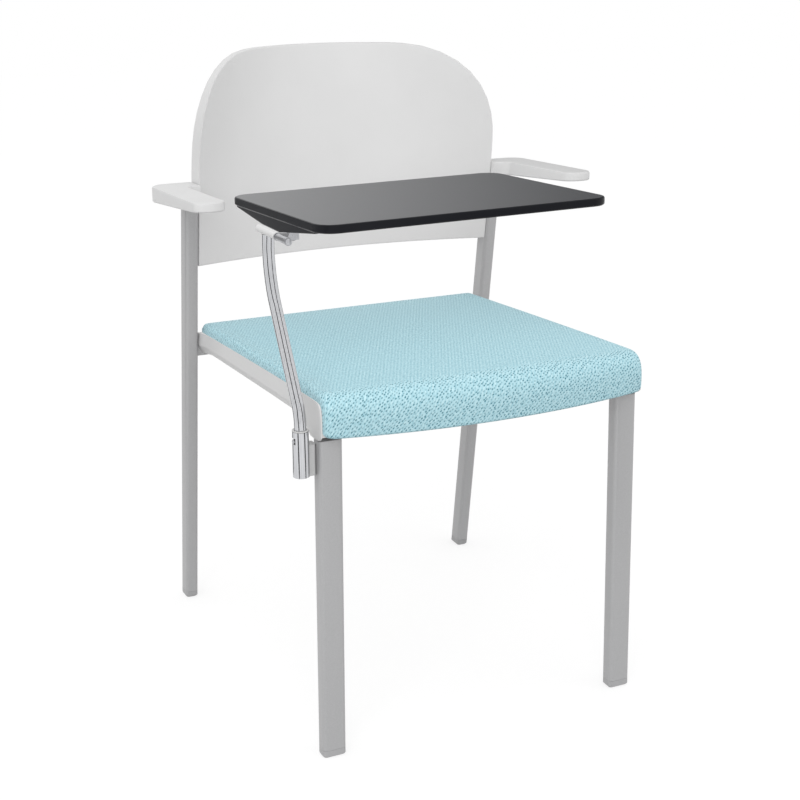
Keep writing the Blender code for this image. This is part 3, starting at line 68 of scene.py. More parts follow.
# Softboxes: name, place, target, size and watts.
SOFTBOXES = (("key_softbox", (-1.50, -2.28, 1.85), (0.0, 0.0, 0.45), 2.0, 29.0),
             ("side_softbox", (-2.40, -0.30, 1.00), (0.0, 0.0, 0.50), 1.6, 3.5),
             ("far_softbox", (2.20, -1.60, 1.30), (0.0, 0.10, 0.60), 1.6, 5.0))
# Cards round the chrome arm, which draw its dark lines: azimuth in degrees and width.
ARM_PLACE = Vector((-0.248, -0.220, 0.0))
STRIPES = ((221.0, 0.28), (311.0, 0.28), (121.0, 0.32))
STRIPE_HEIGHT = 1.5
STRIPE_LEVEL = 0.08
# The card behind the chair that grades the sheen of the tablet.
TABLET_CARD_PLACE = (1.0, 1.13, 1.20)
TABLET_CARD_TARGET = (1.0, 0.0, 1.20)
TABLET_CARD_SIZE = (1.6, 1.9)
TABLET_CARD_LEVELS = (0.10, 0.95)


def add_camera():
    """Camera at the photograph's viewing angle."""
    data = bpy.data.cameras.new("camera")
    data.sensor_width = SENSOR_WIDTH
    data.lens = CAMERA_LENS
    camera = bpy.data.objects.new("camera", data)
    camera.location = CAMERA_PLACE
    camera.rotation_euler = [math.radians(angle) for angle in CAMERA_TURN]
    bpy.context.scene.collection.objects.link(camera)
    bpy.context.scene.camera = camera


def add_softbox(name, place, target, size, watts):
    """Square studio softbox at a place, turned to a target. It leaves no hot spot in the gloss."""
    data = bpy.data.lights.new(name, "AREA")
    data.shape = "SQUARE"
    data.size = size
    data.energy = watts
    lamp = bpy.data.objects.new(name, data)
    lamp.location = place
    lamp.rotation_euler = (Vector(target) - Vector(place)).to_track_quat("-Z", "Y").to_euler()
    lamp.visible_glossy = False
    bpy.context.scene.collection.objects.link(lamp)


def colour(code):
    """Linear colour of an sRGB hex value."""
    levels = [int(code[at:at + 2], 16) / 255 for at in (1, 3, 5)]
    return (*(v / 12.92 if v <= 0.04045 else ((v + 0.055) / 1.055) ** 2.4 for v in levels), 1.0)


def add_node(tree, kind, inputs=None, **settings):
    """Adds a node with its settings. An input takes a value, or a socket to link from.

    An input goes by its name or its number. In a Map Range, 0 is the value, 1 and 2 the ends that
    it runs between, 3 and 4 what they become. In a Mix, 0 is the factor, 6 and 7 the two colours.
    """
    node = tree.nodes.new(kind)
    for name, value in settings.items():
        setattr(node, name, value)
    for name, value in (inputs or {}).items():
        if isinstance(value, bpy.types.NodeSocket):
            tree.links.new(value, node.inputs[name])
        else:
            node.inputs[name].default_value = value
    return node


def add_mesh(name, bm, material, smooth=False):
    """Object made of a bmesh, which is freed."""
    mesh = bpy.data.meshes.new(name)
    bm.to_mesh(mesh)
    bm.free()
    for face in mesh.polygons:
        face.use_smooth = smooth
    mesh.materials.append(material)
    piece = bpy.data.objects.new(name, mesh)
    bpy.context.scene.collection.objects.link(piece)
    return piece


def seen_directly(tree):
    """1 for camera, mirror and glass rays, which see the plain white surroundings."""
    path = add_node(tree, "ShaderNodeLightPath")
    first = add_node(tree, "ShaderNodeMath", {0: path.outputs["Is Camera Ray"],
                                              1: path.outputs["Is Glossy Ray"]},
                     operation="MAXIMUM")
    any_ray = add_node(tree, "ShaderNodeMath", {0: first.outputs[0],
                                                1: path.outputs["Is Transmission Ray"]},
                       operation="MAXIMUM")
    return any_ray.outputs[0]


def add_surroundings():
    """White world, softer as a light than as a view, and a white floor that keeps the shadow."""
    world = bpy.data.worlds.new("studio")
    world.use_nodes = True
    tree = world.node_tree
    tree.nodes.clear()
    fill = add_node(tree, "ShaderNodeBackground", {"Color": colour("#ffffff"),
                                                   "Strength": FILL_LEVEL})
    view = add_node(tree, "ShaderNodeBackground", {"Color": colour("#ffffff"), "Strength": 1.0})
    mix = add_node(tree, "ShaderNodeMixShader", {0: seen_directly(tree), 1: fill.outputs[0],
                                                 2: view.outputs[0]})
    add_node(tree, "ShaderNodeOutputWorld", {"Surface": mix.outputs[0]})
    bpy.context.scene.world = world

    paper = bpy.data.materials.new("white_paper_roll")
    paper.use_nodes = True
    tree = paper.node_tree
    tree.nodes.clear()
    plain = add_node(tree, "ShaderNodeBsdfDiffuse", {"Color": colour("#b0b0b0")})
    faint = add_node(tree, "ShaderNodeBsdfDiffuse", {"Color": (FLOOR_SHADOW,) * 3 + (1.0,)})
    glow = add_node(tree, "ShaderNodeEmission", {"Color": colour("#ffffff"),
                                                 "Strength": 1 - FLOOR_SHADOW * FILL_LEVEL})
    shown = add_node(tree, "ShaderNodeAddShader", {0: faint.outputs[0], 1: glow.outputs[0]})
    mix = add_node(tree, "ShaderNodeMixShader", {0: seen_directly(tree), 1: plain.outputs[0],
                                                 2: shown.outputs[0]})
    add_node(tree, "ShaderNodeOutputMaterial", {"Surface": mix.outputs[0]})

    bm = bmesh.new()
    bmesh.ops.create_grid(bm, x_segments=1, y_segments=1, size=FLOOR_SIZE,
                          matrix=Matrix.Translation((0.0, 0.0, -FLOOR_GAP)))
    floor = add_mesh("floor", bm, paper)


def add_card(name, place, target, width, height, levels):
    """Upright grey studio card that shows only in glossy surfaces.

    One half of its width has the first level, and the other is graded towards the second.
    """
    grey = bpy.data.materials.new(name + "_paper")
    grey.use_nodes = True
    tree = grey.node_tree
    tree.nodes.clear()
    places = add_node(tree, "ShaderNodeTexCoord")
    across = add_node(tree, "ShaderNodeSeparateXYZ", {0: places.outputs["UV"]})
    level = add_node(tree, "ShaderNodeMapRange", {0: across.outputs["X"], 1: 0.5, 2: 1.0,
                                                  3: levels[0], 4: levels[1]})
    glow = add_node(tree, "ShaderNodeEmission", {"Color": colour("#ffffff"),
                                                 "Strength": level.outputs[0]})
    add_node(tree, "ShaderNodeOutputMaterial", {"Surface": glow.outputs[0]})

    bm = bmesh.new()
    bm.loops.layers.uv.new("UVMap")
    bmesh.ops.create_grid(bm, x_segments=1, y_segments=1, size=UNIT_GRID, calc_uvs=True)
    bmesh.ops.scale(bm, vec=(width, height, 1.0), verts=bm.verts)
    away = Vector(target) - Vector(place)
    stand = Matrix.Rotation(math.pi / 2, 4, "X")
    turn = Matrix.Rotation(math.atan2(away.y, away.x) - math.pi / 2, 4, "Z")
    bmesh.ops.transform(bm, matrix=Matrix.Translation(place) @ turn @ stand, verts=bm.verts)
    card = add_mesh(name, bm, grey)
    card.visible_camera = False
    card.visible_diffuse = False
    card.visible_transmission = False
    card.visible_shadow = False


add_camera()
for softbox in SOFTBOXES:
    add_softbox(*softbox)
add_surroundings()
for number, (azimuth, width) in enumerate(STRIPES):
    turn = math.radians(azimuth)
    stand = ARM_PLACE + Vector((math.cos(turn), math.sin(turn), STRIPE_HEIGHT / 2))
    add_card("stripe_card_" + str(number + 1), stand, ARM_PLACE, width, STRIPE_HEIGHT,
             (STRIPE_LEVEL, STRIPE_LEVEL))
add_card("tablet_card", TABLET_CARD_PLACE, TABLET_CARD_TARGET, *TABLET_CARD_SIZE,
         TABLET_CARD_LEVELS)


# Materials

def start_material(name, **values):
    """New material, with its tree, its shader and its Object places.

    The values are those that are the same all over the surface.
    """
    material = bpy.data.materials.new(name)
    material.use_nodes = True
    tree = material.node_tree
    tree.nodes.clear()
    shader = add_node(tree, "ShaderNodeBsdfPrincipled", {key.replace("_", " "): value
                                                         for key, value in values.items()})
    add_node(tree, "ShaderNodeOutputMaterial", {"Surface": shader.outputs[0]})
    places = add_node(tree, "ShaderNodeTexCoord")
    return material, tree, shader, places


def per_mm(size):
    """Texture scale at which one noise cell is this many millimetres wide."""
    return 1000.0 / size


def lay_finish(tree, shader, shading, tones, spread, skin, gloss, relief=None):
    """Lays two tones over a surface by one pattern, and its roughness and relief by another.

    The spread is how far either tone lies from the pattern's middle. Relief is strength and depth.
    """
    tint = add_node(tree, "ShaderNodeValToRGB", {0: shading.outputs[0]})
    for stop, place, tone in zip(tint.color_ramp.elements, (0.5 - spread, 0.5 + spread), tones):
        stop.position = place
        stop.color = colour(tone)
    rough = add_node(tree, "ShaderNodeMapRange", {0: skin.outputs[0], 3: gloss[0], 4: gloss[1]})
    tree.links.new(tint.outputs[0], shader.inputs["Base Color"])
    tree.links.new(rough.outputs[0], shader.inputs["Roughness"])
    if relief:
        bump = add_node(tree, "ShaderNodeBump", {"Height": skin.outputs[0], "Strength": relief[0],
                                                 "Distance": relief[1]})
        tree.links.new(bump.outputs[0], shader.inputs["Normal"])


def powder_coat(name, dark, light):
    """Powder-coated steel in aluminium grey: satin, with fine mica and a faint orange peel.

    The real mica is under 0.1 mm, too fine to show, so it is drawn coarser.
    """
    material, tree, shader, places = start_material(name, Metallic=0.25, IOR=1.5)
    flake = add_node(tree, "ShaderNodeTexNoise", {"Vector": places.outputs["Object"],
                                                  "Scale": per_mm(1.6), "Detail": 3.0})
    peel = add_node(tree, "ShaderNodeTexNoise", {"Vector": places.outputs["Object"],
                                                 "Scale": per_mm(2.4), "Detail": 1.0})
    lay_finish(tree, shader, flake, (dark, light), spread=0.20, skin=peel, gloss=(0.36, 0.44),
               relief=(0.03, 0.05 * MM))
    return material


def moulded_plastic(name, dark, light, rough, grain, sheen=0.5):
    """Injection-moulded plastic with a spark-eroded skin: an even fine grain, faint flow shading.

    The real grain is about 0.2 mm, too fine to show, so it is drawn coarser.
    """
    material, tree, shader, places = start_material(name, IOR=1.49, Specular_IOR_Level=sheen)
    flow = add_node(tree, "ShaderNodeTexNoise", {"Vector": places.outputs["Object"],
                                                 "Scale": per_mm(90.0), "Detail": 2.0})
    skin = add_node(tree, "ShaderNodeTexNoise", {"Vector": places.outputs["Object"],
                                                 "Scale": per_mm(grain), "Detail": 2.0})
    lay_finish(tree, shader, flow, (dark, light), spread=0.25, skin=skin,
               gloss=(rough - 0.06, rough + 0.06), relief=(0.10, 0.15 * MM))
    return material


def bright_metal(name, dark, light, rough, streak):
    """Plated steel: polished chrome or bright zinc, with faint drawing streaks in its gloss.

    Real streaks are under 0.1 mm, too fine to show, so they are drawn coarser.
    """
    material, tree, shader, places = start_material(name, Metallic=1.0)
    drawn = add_node(tree, "ShaderNodeMapping", {0: places.outputs["Object"],
                                                 3: (1.0, 1.0, streak)})
    lines = add_node(tree, "ShaderNodeTexNoise", {"Vector": drawn.outputs[0], "Scale": per_mm(1.5),
                                                  "Detail": 2.0})
    lay_finish(tree, shader, lines, (dark, light), spread=0.25, skin=lines,
               gloss=(rough * 0.7, rough * 1.3))
    return material


def tablet_laminate():
    """Compact laminate: satin slate-grey decor with a fine pebble, which catches a soft sheen.

    The real pebble is well under 1 mm, too fine to show, so it is drawn coarser.
    """
    material, tree, shader, places = start_material("compact_laminate_slate", IOR=1.52,
                                                    Specular_IOR_Level=0.27)
    pebble = add_node(tree, "ShaderNodeTexNoise", {"Vector": places.outputs["Object"],
                                                   "Scale": per_mm(1.4), "Detail": 3.0})
    lay_finish(tree, shader, pebble, ("#4e4f52", "#555659"), spread=0.20, skin=pebble,
               gloss=(0.27, 0.37), relief=(0.05, 0.1 * MM))
    return material


# Pits of the knit: the spacing and turn of their lattice, and how narrow each is in its cell.
KNIT_PITCH = 4.3 * MM
KNIT_ROW = 3.7 * MM
KNIT_TURN = math.radians(-38.0)
PIT_SHAPE = (1.10, 1.55, 0.0)
# How far pits stray from the lattice, and where a pit's floor and rim lie in its cell.
PIT_SCATTER = 0.55
PIT_FLOOR = 0.14
PIT_RIM = 0.52
# How dark the shallowest pit is beside the deepest, and a pit on the flat beside an open one.
# The pits' dark is partly painted shade in the holes.
SHALLOW_PIT = 0.35
CLOSED_PIT = 0.34
# Depth of a pit, in heights of the yarn.
PIT_DEPTH = 1.5
# Wales and loops of the yarn, with sizes in millimetres, how much the wales add to the loops, and
# the ends of the sum at which the yarn is darkest and lightest: painted shade between the raised
# loops and wales, painted highlight on them.
RIB_PITCH = 4.3
RIB_TURN = math.radians(-26.0)
LOOP_SIZE = 2.2
LOOP_SHAPE = (1.0, 0.35, 1.0)
WALE_SHARE = 0.22
YARN_DARK = 0.40
YARN_LIGHT = 0.86
# A band wave runs 20 radians to a unit, so this turns one over a pitch into its scale.
WAVE_TURN = math.pi / 10
# Stretch at which the pits stand fully open, and how much a painted highlight lightens the yarn
# there.
FULL_STRETCH = 0.12
TAUT_HIGHLIGHT = 0.17


def pitted_knit():
    """Polyester spacer knit: pale aqua loops in fine wales, with slanting pits.

    The pits stand open where the cloth is stretched, down the front and along its edges, and
    nearly close on the flat. The pits' dark teal is partly the deeper yarn's own tone and partly
    painted shade in the holes. The yarn carries painted highlight on its raised loops and where it
    is stretched. Single loops, about 1 mm wide, are too fine to show, so they are drawn coarser.
    """
    material, tree, shader, _ = start_material("polyester_knit_aqua", Roughness=0.9, IOR=1.45,
                                               Sheen_Weight=0.12, Sheen_Roughness=0.5)
    across = add_node(tree, "ShaderNodeAttribute", attribute_name="weave_across")
    along = add_node(tree, "ShaderNodeAttribute", attribute_name="weave_along")
    stretch_and_highlight = add_node(tree, "ShaderNodeAttribute", attribute_name="stretch_and_highlight")
    flat = add_node(tree, "ShaderNodeCombineXYZ", {0: across.outputs["Fac"],
                                                   1: along.outputs["Fac"]})
    lattice = add_node(tree, "ShaderNodeMapping", {0: flat.outputs[0], 2: (0.0, 0.0, KNIT_TURN),
                                                   3: (KNIT_PITCH, KNIT_ROW, 1.0)},
                       vector_type="TEXTURE")
    cells = add_node(tree, "ShaderNodeTexVoronoi", {"Vector": lattice.outputs[0], "Scale": 1.0,
                                                    "Randomness": PIT_SCATTER},
                     voronoi_dimensions="2D")
    offset = add_node(tree, "ShaderNodeVectorMath", {0: lattice.outputs[0],
                                                     1: cells.outputs["Position"]},
                      operation="SUBTRACT")
    slim = add_node(tree, "ShaderNodeVectorMath", {0: offset.outputs[0], 1: PIT_SHAPE},
                    operation="MULTIPLY")
    reach = add_node(tree, "ShaderNodeVectorMath", {0: slim.outputs[0]}, operation="LENGTH")
    pit = add_node(tree, "ShaderNodeMapRange", {0: reach.outputs["Value"], 1: PIT_FLOOR, 2: PIT_RIM,
                                                3: 1.0, 4: 0.0}, interpolation_type="SMOOTHSTEP")
    # Deeper pits take more of the painted shade.
    depth = add_node(tree, "ShaderNodeSeparateColor", {0: cells.outputs["Color"]})
    deep = add_node(tree, "ShaderNodeMapRange", {0: depth.outputs[0], 3: SHALLOW_PIT, 4: 1.0})
    shade = add_node(tree, "ShaderNodeMath", {0: pit.outputs[0], 1: deep.outputs[0]},
                     operation="MULTIPLY")
    opened = add_node(tree, "ShaderNodeMapRange", {0: stretch_and_highlight.outputs["Fac"], 2: FULL_STRETCH,
                                                   3: CLOSED_PIT, 4: 1.0})
    dark = add_node(tree, "ShaderNodeMath", {0: shade.outputs[0], 1: opened.outputs[0]},
                    operation="MULTIPLY")

    slant = add_node(tree, "ShaderNodeMapping", {0: flat.outputs[0], 2: (0.0, 0.0, RIB_TURN)})
    drawn = add_node(tree, "ShaderNodeMapping", {0: slant.outputs[0], 3: LOOP_SHAPE})
    wales = add_node(tree, "ShaderNodeTexWave", {"Vector": slant.outputs[0],
                                                 "Scale": WAVE_TURN * per_mm(RIB_PITCH),
                                                 "Distortion": 2.6, "Detail": 2.0,
                                                 "Detail Scale": 3.0})
    loops = add_node(tree, "ShaderNodeTexNoise", {"Vector": drawn.outputs[0],
                                                  "Scale": per_mm(LOOP_SIZE), "Detail": 3.0})
    yarn = add_node(tree, "ShaderNodeMath", {0: wales.outputs["Fac"], 1: WALE_SHARE,
                                             2: loops.outputs[0]}, operation="MULTIPLY_ADD")
    # Painted highlight on the raised yarn and painted shade between it, by the yarn's height.
    bright = add_node(tree, "ShaderNodeMapRange", {0: yarn.outputs[0], 1: YARN_DARK,
                                                   2: YARN_LIGHT})
    tint = add_node(tree, "ShaderNodeMix", {0: bright.outputs[0], 6: colour("#94c6d3"),
                                            7: colour("#c2e6ee")}, data_type="RGBA")
    # Painted highlight: the yarn turns paler where the cloth is stretched, down the front and along
    # the edges.
    taut_highlight = add_node(tree, "ShaderNodeMapRange", {0: stretch_and_highlight.outputs["Fac"], 2: FULL_STRETCH,
                                                 4: TAUT_HIGHLIGHT})
    lit = add_node(tree, "ShaderNodeMix", {0: taut_highlight.outputs[0], 6: tint.outputs[2],
                                           7: colour("#d8f2f7")}, data_type="RGBA")
    # The pits' dark teal: partly the deeper yarn's own tone, partly painted shade in the holes.
    mix = add_node(tree, "ShaderNodeMix", {0: dark.outputs[0], 6: lit.outputs[2],
                                           7: colour("#2f7486")}, data_type="RGBA")
    height = add_node(tree, "ShaderNodeMath", {0: dark.outputs[0], 1: -PIT_DEPTH,
                                               2: yarn.outputs[0]}, operation="MULTIPLY_ADD")
    bump = add_node(tree, "ShaderNodeBump", {"Height": height.outputs[0], "Strength": 0.5,
                                             "Distance": 0.6 * MM})
    tree.links.new(mix.outputs[2], shader.inputs["Base Color"])
    tree.links.new(bump.outputs[0], shader.inputs["Normal"])
    return material


silver = powder_coat("powder_coated_steel_silver", "#aeaeaf", "#b4b4b5")
pale_silver = powder_coat("powder_coated_steel_pale", "#cacaca", "#d1d1d1")
pale = moulded_plastic("moulded_polypropylene_pale_grey", "#d8d8d8", "#dbdbdb",
                       rough=0.44, grain=1.3)
glide_grey = moulded_plastic("moulded_polyethylene_grey", "#acacad", "#b3b3b4",
                             rough=0.50, grain=1.2)
black = moulded_plastic("moulded_nylon_black", "#191a1e", "#1f2024",
                        rough=0.34, grain=1.2, sheen=0.12)
bush_white = moulded_plastic("moulded_nylon_natural", "#c9c9c8", "#d0d0cf",
                             rough=0.42, grain=1.0)
# The board's pressed phenolic core has the same fine, even skin where it is cut and sanded.
board_core = moulded_plastic("phenolic_core_black", "#17181c", "#1d1e22",
                             rough=0.36, grain=1.2, sheen=0.11)
chrome = bright_metal("polished_chrome_plate", "#b9babd", "#d2d3d6", rough=0.07, streak=0.05)
zinc = bright_metal("bright_zinc_plate", "#b4b5b8", "#c6c7ca", rough=0.32, streak=1.0)
laminate = tablet_laminate()
knit = pitted_knit()

SLOT_FINISH = {"silver_paint": silver, "pale_plastic": pale, "grey_plastic": glide_grey,
               "black_plastic": black, "nylon": bush_white, "chrome": chrome, "zinc": zinc,
               "tablet_grey": laminate, "aqua_fabric": knit}


# Crease angles in degrees, the upward share of a normal that counts as the board's top, and how
# near corners are welded.
CREASE = 32.0
SHELL_CREASE = 24.0
FLAT_TOP = 0.99
WELD_GAP = 0.00001


def dress(node, material, crease):
    """Gives a CAD node its finish, and smooth shading up to a crease angle."""
    node.data.materials.clear()
    node.data.materials.append(material)
    for face in node.data.polygons:
        face.use_smooth = True
    weld = node.modifiers.new("weld", "WELD")
    weld.merge_threshold = WELD_GAP
    split = node.modifiers.new("creases", "EDGE_SPLIT")
    split.split_angle = math.radians(crease)
    flats = node.modifiers.new("flats", "WEIGHTED_NORMAL")
    flats.keep_sharp = True


for row in frame["record"]["subparts"]:
    crease = SHELL_CREASE if row["node"] == "seat_shell" else CREASE
    dress(nodes[row["node"]], SLOT_FINISH[row["material_slot"]], crease)

# The board's top is laminate, and its cut edges and underside show the black core.
board = nodes["tablet_board"]
board.data.materials.append(board_core)
for face in board.data.polygons:
    face.material_index = 0 if face.normal.z > FLAT_TOP else 1

# Keeps the dark tablet out of the bounced light and the sheen on the pieces round it, and the back
# out of their sheen.
for name in ("tablet_board", "tablet_carrier"):
    nodes[name].visible_diffuse = False
    nodes[name].visible_glossy = False
nodes["back_panel"].visible_glossy = False

# The socket's bracket is paler than the legs, and the hinge's own parts are plated.
nodes["socket_bracket"].data.materials[0] = pale_silver
for name in ("hinge_barrel", "hinge_nut", "hinge_washer_front", "hinge_washer_rear"):
    nodes[name].data.materials[0] = zinc


# Seat pad

# Side view of the seat's rim, as in the CAD: Bezier corners as y and z, from rear to front.
SEAT_CURVE = ((0.2230, 0.4478), (0.0630, 0.4595), (-0.1400, 0.4735), (-0.2310, 0.4780))
FALL_CURVE = ((-0.2310, 0.4780), (-0.2450, 0.4788), (-0.2520, 0.4750), (-0.2513, 0.4440))
# Shares of the way to the front at which the fall and the hem start, and the hem's corner radius.
SEAT_SHARE = 18 / 27
FALL_SHARE = 24 / 27
HEM_R = 0.0080
# Half width of the seat, how far it spreads to the front, and the bow of its front edge.
SEAT_HALF_W = 0.2245
SEAT_SPREAD = 0.0023
FRONT_BULGE = 0.0240
BULGE_START = 0.43
BULGE_FULL = 0.95
# Height of the shell's lip round the pad.
LIP_REAR = 0.0020
LIP_FRONT = 0.0030
# The pad: its width, gap and drawn-in sides, how far it stands proud of the rim, and its crown.
PAD_HALF_W = 0.2227
PAD_GAP = 0.0005
PAD_DRAW_IN = 0.0012
PAD_PROUD_REAR = 0.0126
PAD_PROUD_FRONT = 0.0078
PAD_CREST_FILL = 0.0010
PAD_CROWN = 0.0075
PAD_FALL_CROWN = 0.0025
# Radii over which the cover rolls down its sides and ends, and the width of its taut edge.
SIDE_ROLL = 0.0075
END_ROLL = 0.0040
TAUT_EDGE = 0.030
# The pad's grid. ROLL_STEPS are shares of a side's roll, REAR_ROWS and TOP_START of the way to the
# front, and HEM_STEPS of the hem.
CURVE_STEPS = 240
PAD_COLUMNS = 64
TOP_ROWS = 50
FALL_ROWS = 24
ROLL_STEPS = (0.0, 0.04, 0.16, 0.36, 0.64)
REAR_ROWS = [0.0, 0.0006, 0.0018, 0.0040, 0.0070]
TOP_START = 0.0120
HEM_STEPS = (0.2, 0.4, 0.58, 0.74, 0.87, 0.96, 1.0)
WALL_CUTS = 2
# The cover's swelling as stuffed cloth.
SWELL_LIMIT = 0.0018
SWELL_FRAMES = 20
SWELL_PRESSURE = 4.0
COVER_QUALITY = 5
COVER_TENSION = 25.0
COVER_BENDING = 2.0


def curve_points(pairs):
    """Points along one Bezier curve of the seat's side view, given as y and z."""
    corners = [Vector((0.0, y, z)) for y, z in pairs]
    return interpolate_bezier(*corners, CURVE_STEPS + 1)


SEAT_POINTS = curve_points(SEAT_CURVE)
FALL_POINTS = curve_points(FALL_CURVE)


def profile_at(share):
    """Point and inward normal of the seat's rim line, at a share of the way from rear to front."""
    if share > FALL_SHARE:
        drop = HEM_R * (share - FALL_SHARE) / (1 - FALL_SHARE)
        return FALL_POINTS[-1] - Vector((0.0, 0.0, drop)), Vector((0.0, 1.0, 0.0))
    if share < SEAT_SHARE:
        points = SEAT_POINTS
        place = share / SEAT_SHARE * CURVE_STEPS
    else:
        points = FALL_POINTS
        place = (share - SEAT_SHARE) / (FALL_SHARE - SEAT_SHARE) * CURVE_STEPS
    step = min(int(place), CURVE_STEPS - 1)
    along = points[step + 1] - points[step]
    normal = Vector((0.0, -along.z, along.y)).normalized()
    return points[step] + along * (place - step), normal


def pad_point(share, x, height):
    """Point over the seat's rim line, with the spread and the forward bow of the front edge."""
    point, inward = profile_at(share)
    rise = min(max((share / SEAT_SHARE - BULGE_START) / (BULGE_FULL - BULGE_START), 0.0), 1.0)
    bow = FRONT_BULGE * rise * rise * (3 - 2 * rise) * (1 - (x / SEAT_HALF_W) ** 2)
    forward = (SEAT_CURVE[0][0] - point.y) / (SEAT_CURVE[0][0] - FALL_CURVE[3][0])
    point = point - inward * height
    return Vector((x * (1 + SEAT_SPREAD / SEAT_HALF_W * forward), point.y - bow, point.z))


def even(start, end, count):
    """Evenly spaced values, both ends included."""
    return [start + (end - start) * step / count for step in range(count + 1)]


def pad_columns():
    """Columns across the pad, closer together where its sides roll over."""
    roll = [PAD_HALF_W - inset * SIDE_ROLL for inset in ROLL_STEPS]
    left = [-x for x in roll]
    inner = even(-PAD_HALF_W + SIDE_ROLL, PAD_HALF_W - SIDE_ROLL, PAD_COLUMNS - 2 * len(roll))
    return left + inner + roll[::-1]


def pad_rows():
    """Shares from the rear to the front edge, closer together at both rolls and down the fall."""
    top = even(TOP_START, SEAT_SHARE, TOP_ROWS)
    fall = even(SEAT_SHARE, FALL_SHARE, FALL_ROWS)[1:]
    hem = [FALL_SHARE + (1 - FALL_SHARE) * step for step in HEM_STEPS]
    return REAR_ROWS + top + fall + hem


def make_pad():
    """Foam pad under a taut knit cover: crowned, drawn in between its corners, rolled at its edges.

    Gives the bmesh, the points of its top, and the edges of its wall.
    """
    columns = pad_columns()
    rows = pad_rows()
    last_column = len(columns) - 1
    last_row = len(rows) - 1
    bm = bmesh.new()
    bmesh.ops.create_grid(bm, x_segments=last_column, y_segments=last_row, size=UNIT_GRID)
    column_of = bm.verts.layers.int.new("column")
    row_of = bm.verts.layers.int.new("row")
    weave_across = bm.verts.layers.float.new("weave_across")
    weave_along = bm.verts.layers.float.new("weave_along")
    stretch_and_highlight = bm.verts.layers.float.new("stretch_and_highlight")
    for vert in bm.verts:
        vert[column_of] = round((vert.co.x + UNIT_GRID) * last_column)
        vert[row_of] = round((vert.co.y + UNIT_GRID) * last_row)
    lengths = [0.0]
    for before, after in zip(rows, rows[1:]):
        lengths.append(lengths[-1] + (profile_at(after)[0] - profile_at(before)[0]).length)

    def pad_x(vert):
        """Place across, with the sides drawn in and the hem's corners rounded."""
        share = rows[vert[row_of]]
        hem = max((share - FALL_SHARE) / (1 - FALL_SHARE), 0.0)
        inset = PAD_DRAW_IN * math.sin(math.pi * share) + HEM_R * (1 - math.sqrt(1 - hem * hem))
        return columns[vert[column_of]] * (1 - inset / PAD_HALF_W)

    for vert in bm.verts:
        share = rows[vert[row_of]]
        # The stretch opens the pits and carries the painted highlight on the yarn.
        from_edge = min(PAD_HALF_W - abs(columns[vert[column_of]]), lengths[vert[row_of]] / 2)
        near_edge = FULL_STRETCH * max(1 - from_edge / TAUT_EDGE, 0.0)
        vert[stretch_and_highlight] = max((share - SEAT_SHARE) / (FALL_SHARE - SEAT_SHARE), near_edge)
        lip = LIP_REAR + (LIP_FRONT - LIP_REAR) * share
        vert.co = pad_point(share, pad_x(vert), PAD_GAP - lip)
    made = bmesh.ops.extrude_face_region(bm, geom=bm.faces[:])["geom"]
    top = [item for item in made if isinstance(item, bmesh.types.BMVert)]
    for vert in top:
        share = rows[vert[row_of]]
        fall = min(max((share - SEAT_SHARE) / (FALL_SHARE - SEAT_SHARE), 0.0), 1.0)
        crest = min(share / SEAT_SHARE, 1.0) ** 3 * (1 - fall * fall)
        proud = PAD_PROUD_REAR + (PAD_PROUD_FRONT - PAD_PROUD_REAR) * share
        proud += PAD_CREST_FILL * crest
        crown = PAD_CROWN + (PAD_FALL_CROWN - PAD_CROWN) * fall
        rise = math.sin(math.pi * min(share / SEAT_SHARE / BULGE_START, 1.0) / 2)
        side = columns[vert[column_of]] / PAD_HALF_W
        from_side = PAD_HALF_W - abs(columns[vert[column_of]])
        from_end = min(lengths[vert[row_of]], lengths[-1] - lengths[vert[row_of]])
        over_side = max(1 - from_side / SIDE_ROLL, 0.0)
        over_end = max(1 - from_end / END_ROLL, 0.0)
        over = min(math.hypot(over_side, over_end), 1.0)
        radius = max(SIDE_ROLL * over_side, END_ROLL * over_end) / max(over_side, over_end, TINY)
        roll = radius * (1 - math.sqrt(1 - over * over))
        vert.co = pad_point(share, pad_x(vert), proud + crown * rise * (1 - side * side) - roll)
    fit_weave(bm, top, column_of, row_of, weave_across, weave_along)
    raised = set(top)
    sides = [edge for edge in bm.edges if (edge.verts[0] in raised) != (edge.verts[1] in raised)]
    return bm, top, sides


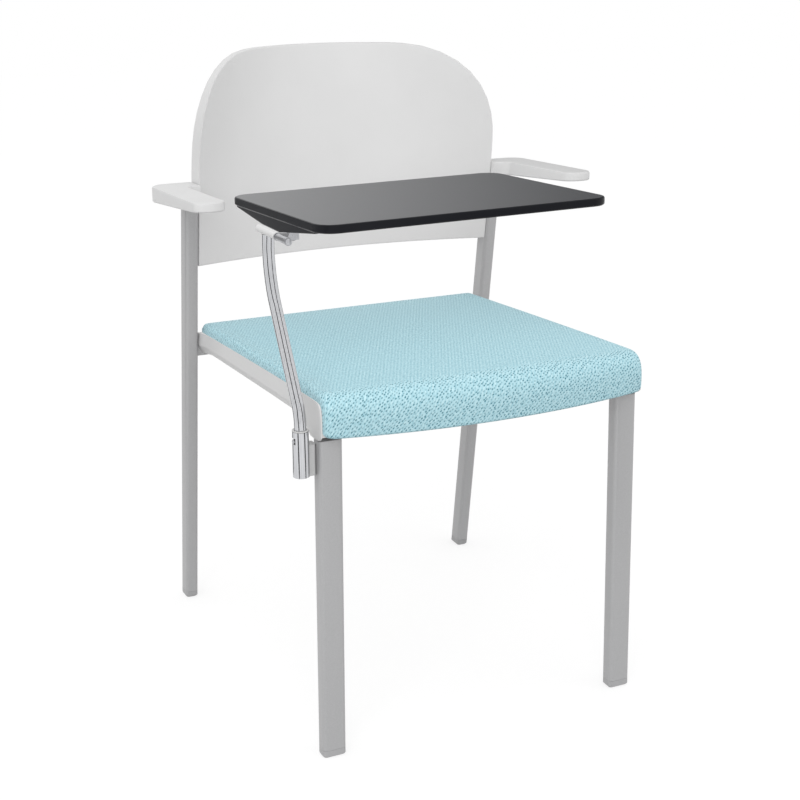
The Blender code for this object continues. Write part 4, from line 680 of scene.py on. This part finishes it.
def fit_weave(bm, top, column_of, row_of, weave_across, weave_along):
    """Cloth places in metres, measured over the cover from its middle column and rear row."""
    at = {(vert[column_of], vert[row_of]): vert for vert in top}
    columns = max(key[0] for key in at)
    rows = max(key[1] for key in at)
    middle = columns // 2
    for row in range(rows + 1):
        for step in (1, -1):
            reach = 0.0
            end = columns if step == 1 else 0
            for column in range(middle + step, end + step, step):
                reach += (at[column, row].co - at[column - step, row].co).length
                at[column, row][weave_across] = step * reach
    for column in range(columns + 1):
        reach = 0.0
        for row in range(1, rows + 1):
            reach += (at[column, row].co - at[column, row - 1].co).length
            at[column, row][weave_along] = reach
    raised = set(top)
    for vert in bm.verts:
        if vert not in raised:
            over = at[vert[column_of], vert[row_of]]
            wall = (over.co - vert.co).length
            vert[weave_across] = over[weave_across]
            vert[weave_along] = over[weave_along]
            if vert[column_of] in (0, columns):
                vert[weave_across] += math.copysign(wall, vert[weave_across])
            if vert[row_of] == 0:
                vert[weave_along] -= wall
            if vert[row_of] == rows:
                vert[weave_along] += wall


def swell(piece, held):
    """Lets the cover swell like stuffed cloth, from the held base up, and keeps the result."""
    rest = [vert.co.copy() for vert in piece.data.vertices]
    group = piece.vertex_groups.new(name="held")
    group.add(held, 1.0, "REPLACE")
    cloth = piece.modifiers.new("cover", "CLOTH")
    cloth.settings.use_pressure = True
    cloth.settings.uniform_pressure_force = SWELL_PRESSURE
    cloth.settings.effector_weights.gravity = 0.0
    cloth.settings.vertex_group_mass = group.name
    cloth.settings.quality = COVER_QUALITY
    cloth.settings.tension_stiffness = COVER_TENSION
    cloth.settings.bending_stiffness = COVER_BENDING
    scene = bpy.context.scene
    for step in range(1, SWELL_FRAMES + 1):
        scene.frame_set(step)
    shaped = piece.evaluated_get(bpy.context.evaluated_depsgraph_get()).to_mesh()
    moved = []
    for start, vert in zip(rest, shaped.vertices):
        push = vert.co - start
        moved.append(start + push * min(1.0, SWELL_LIMIT / max(push.length, TINY)))
    piece.modifiers.remove(cloth)
    piece.vertex_groups.clear()
    scene.frame_set(1)
    for vert, place in zip(piece.data.vertices, moved):
        vert.co = place


def add_pad():
    """The seat pad in its knit cover, which stands for the plain CAD pad."""
    bm, top, sides = make_pad()
    bmesh.ops.subdivide_edges(bm, edges=sides, cuts=WALL_CUTS)
    bmesh.ops.recalc_face_normals(bm, faces=bm.faces[:])
    raised = set(top)
    bm.verts.index_update()
    held = [vert.index for vert in bm.verts if vert not in raised]
    pad = add_mesh("seat_cushion", bm, knit, smooth=True)
    swell(pad, held)
    round_off = pad.modifiers.new("round_off", "SUBSURF")
    round_off.levels = 1
    round_off.render_levels = 1
    # Keeps the pad's tint out of the pale pieces round it.
    pad.visible_diffuse = False
    pad.visible_glossy = False
    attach(pad, "frame")
    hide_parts("seat_pad")


add_pad()

bpy.context.scene.view_settings.view_transform = "Standard"
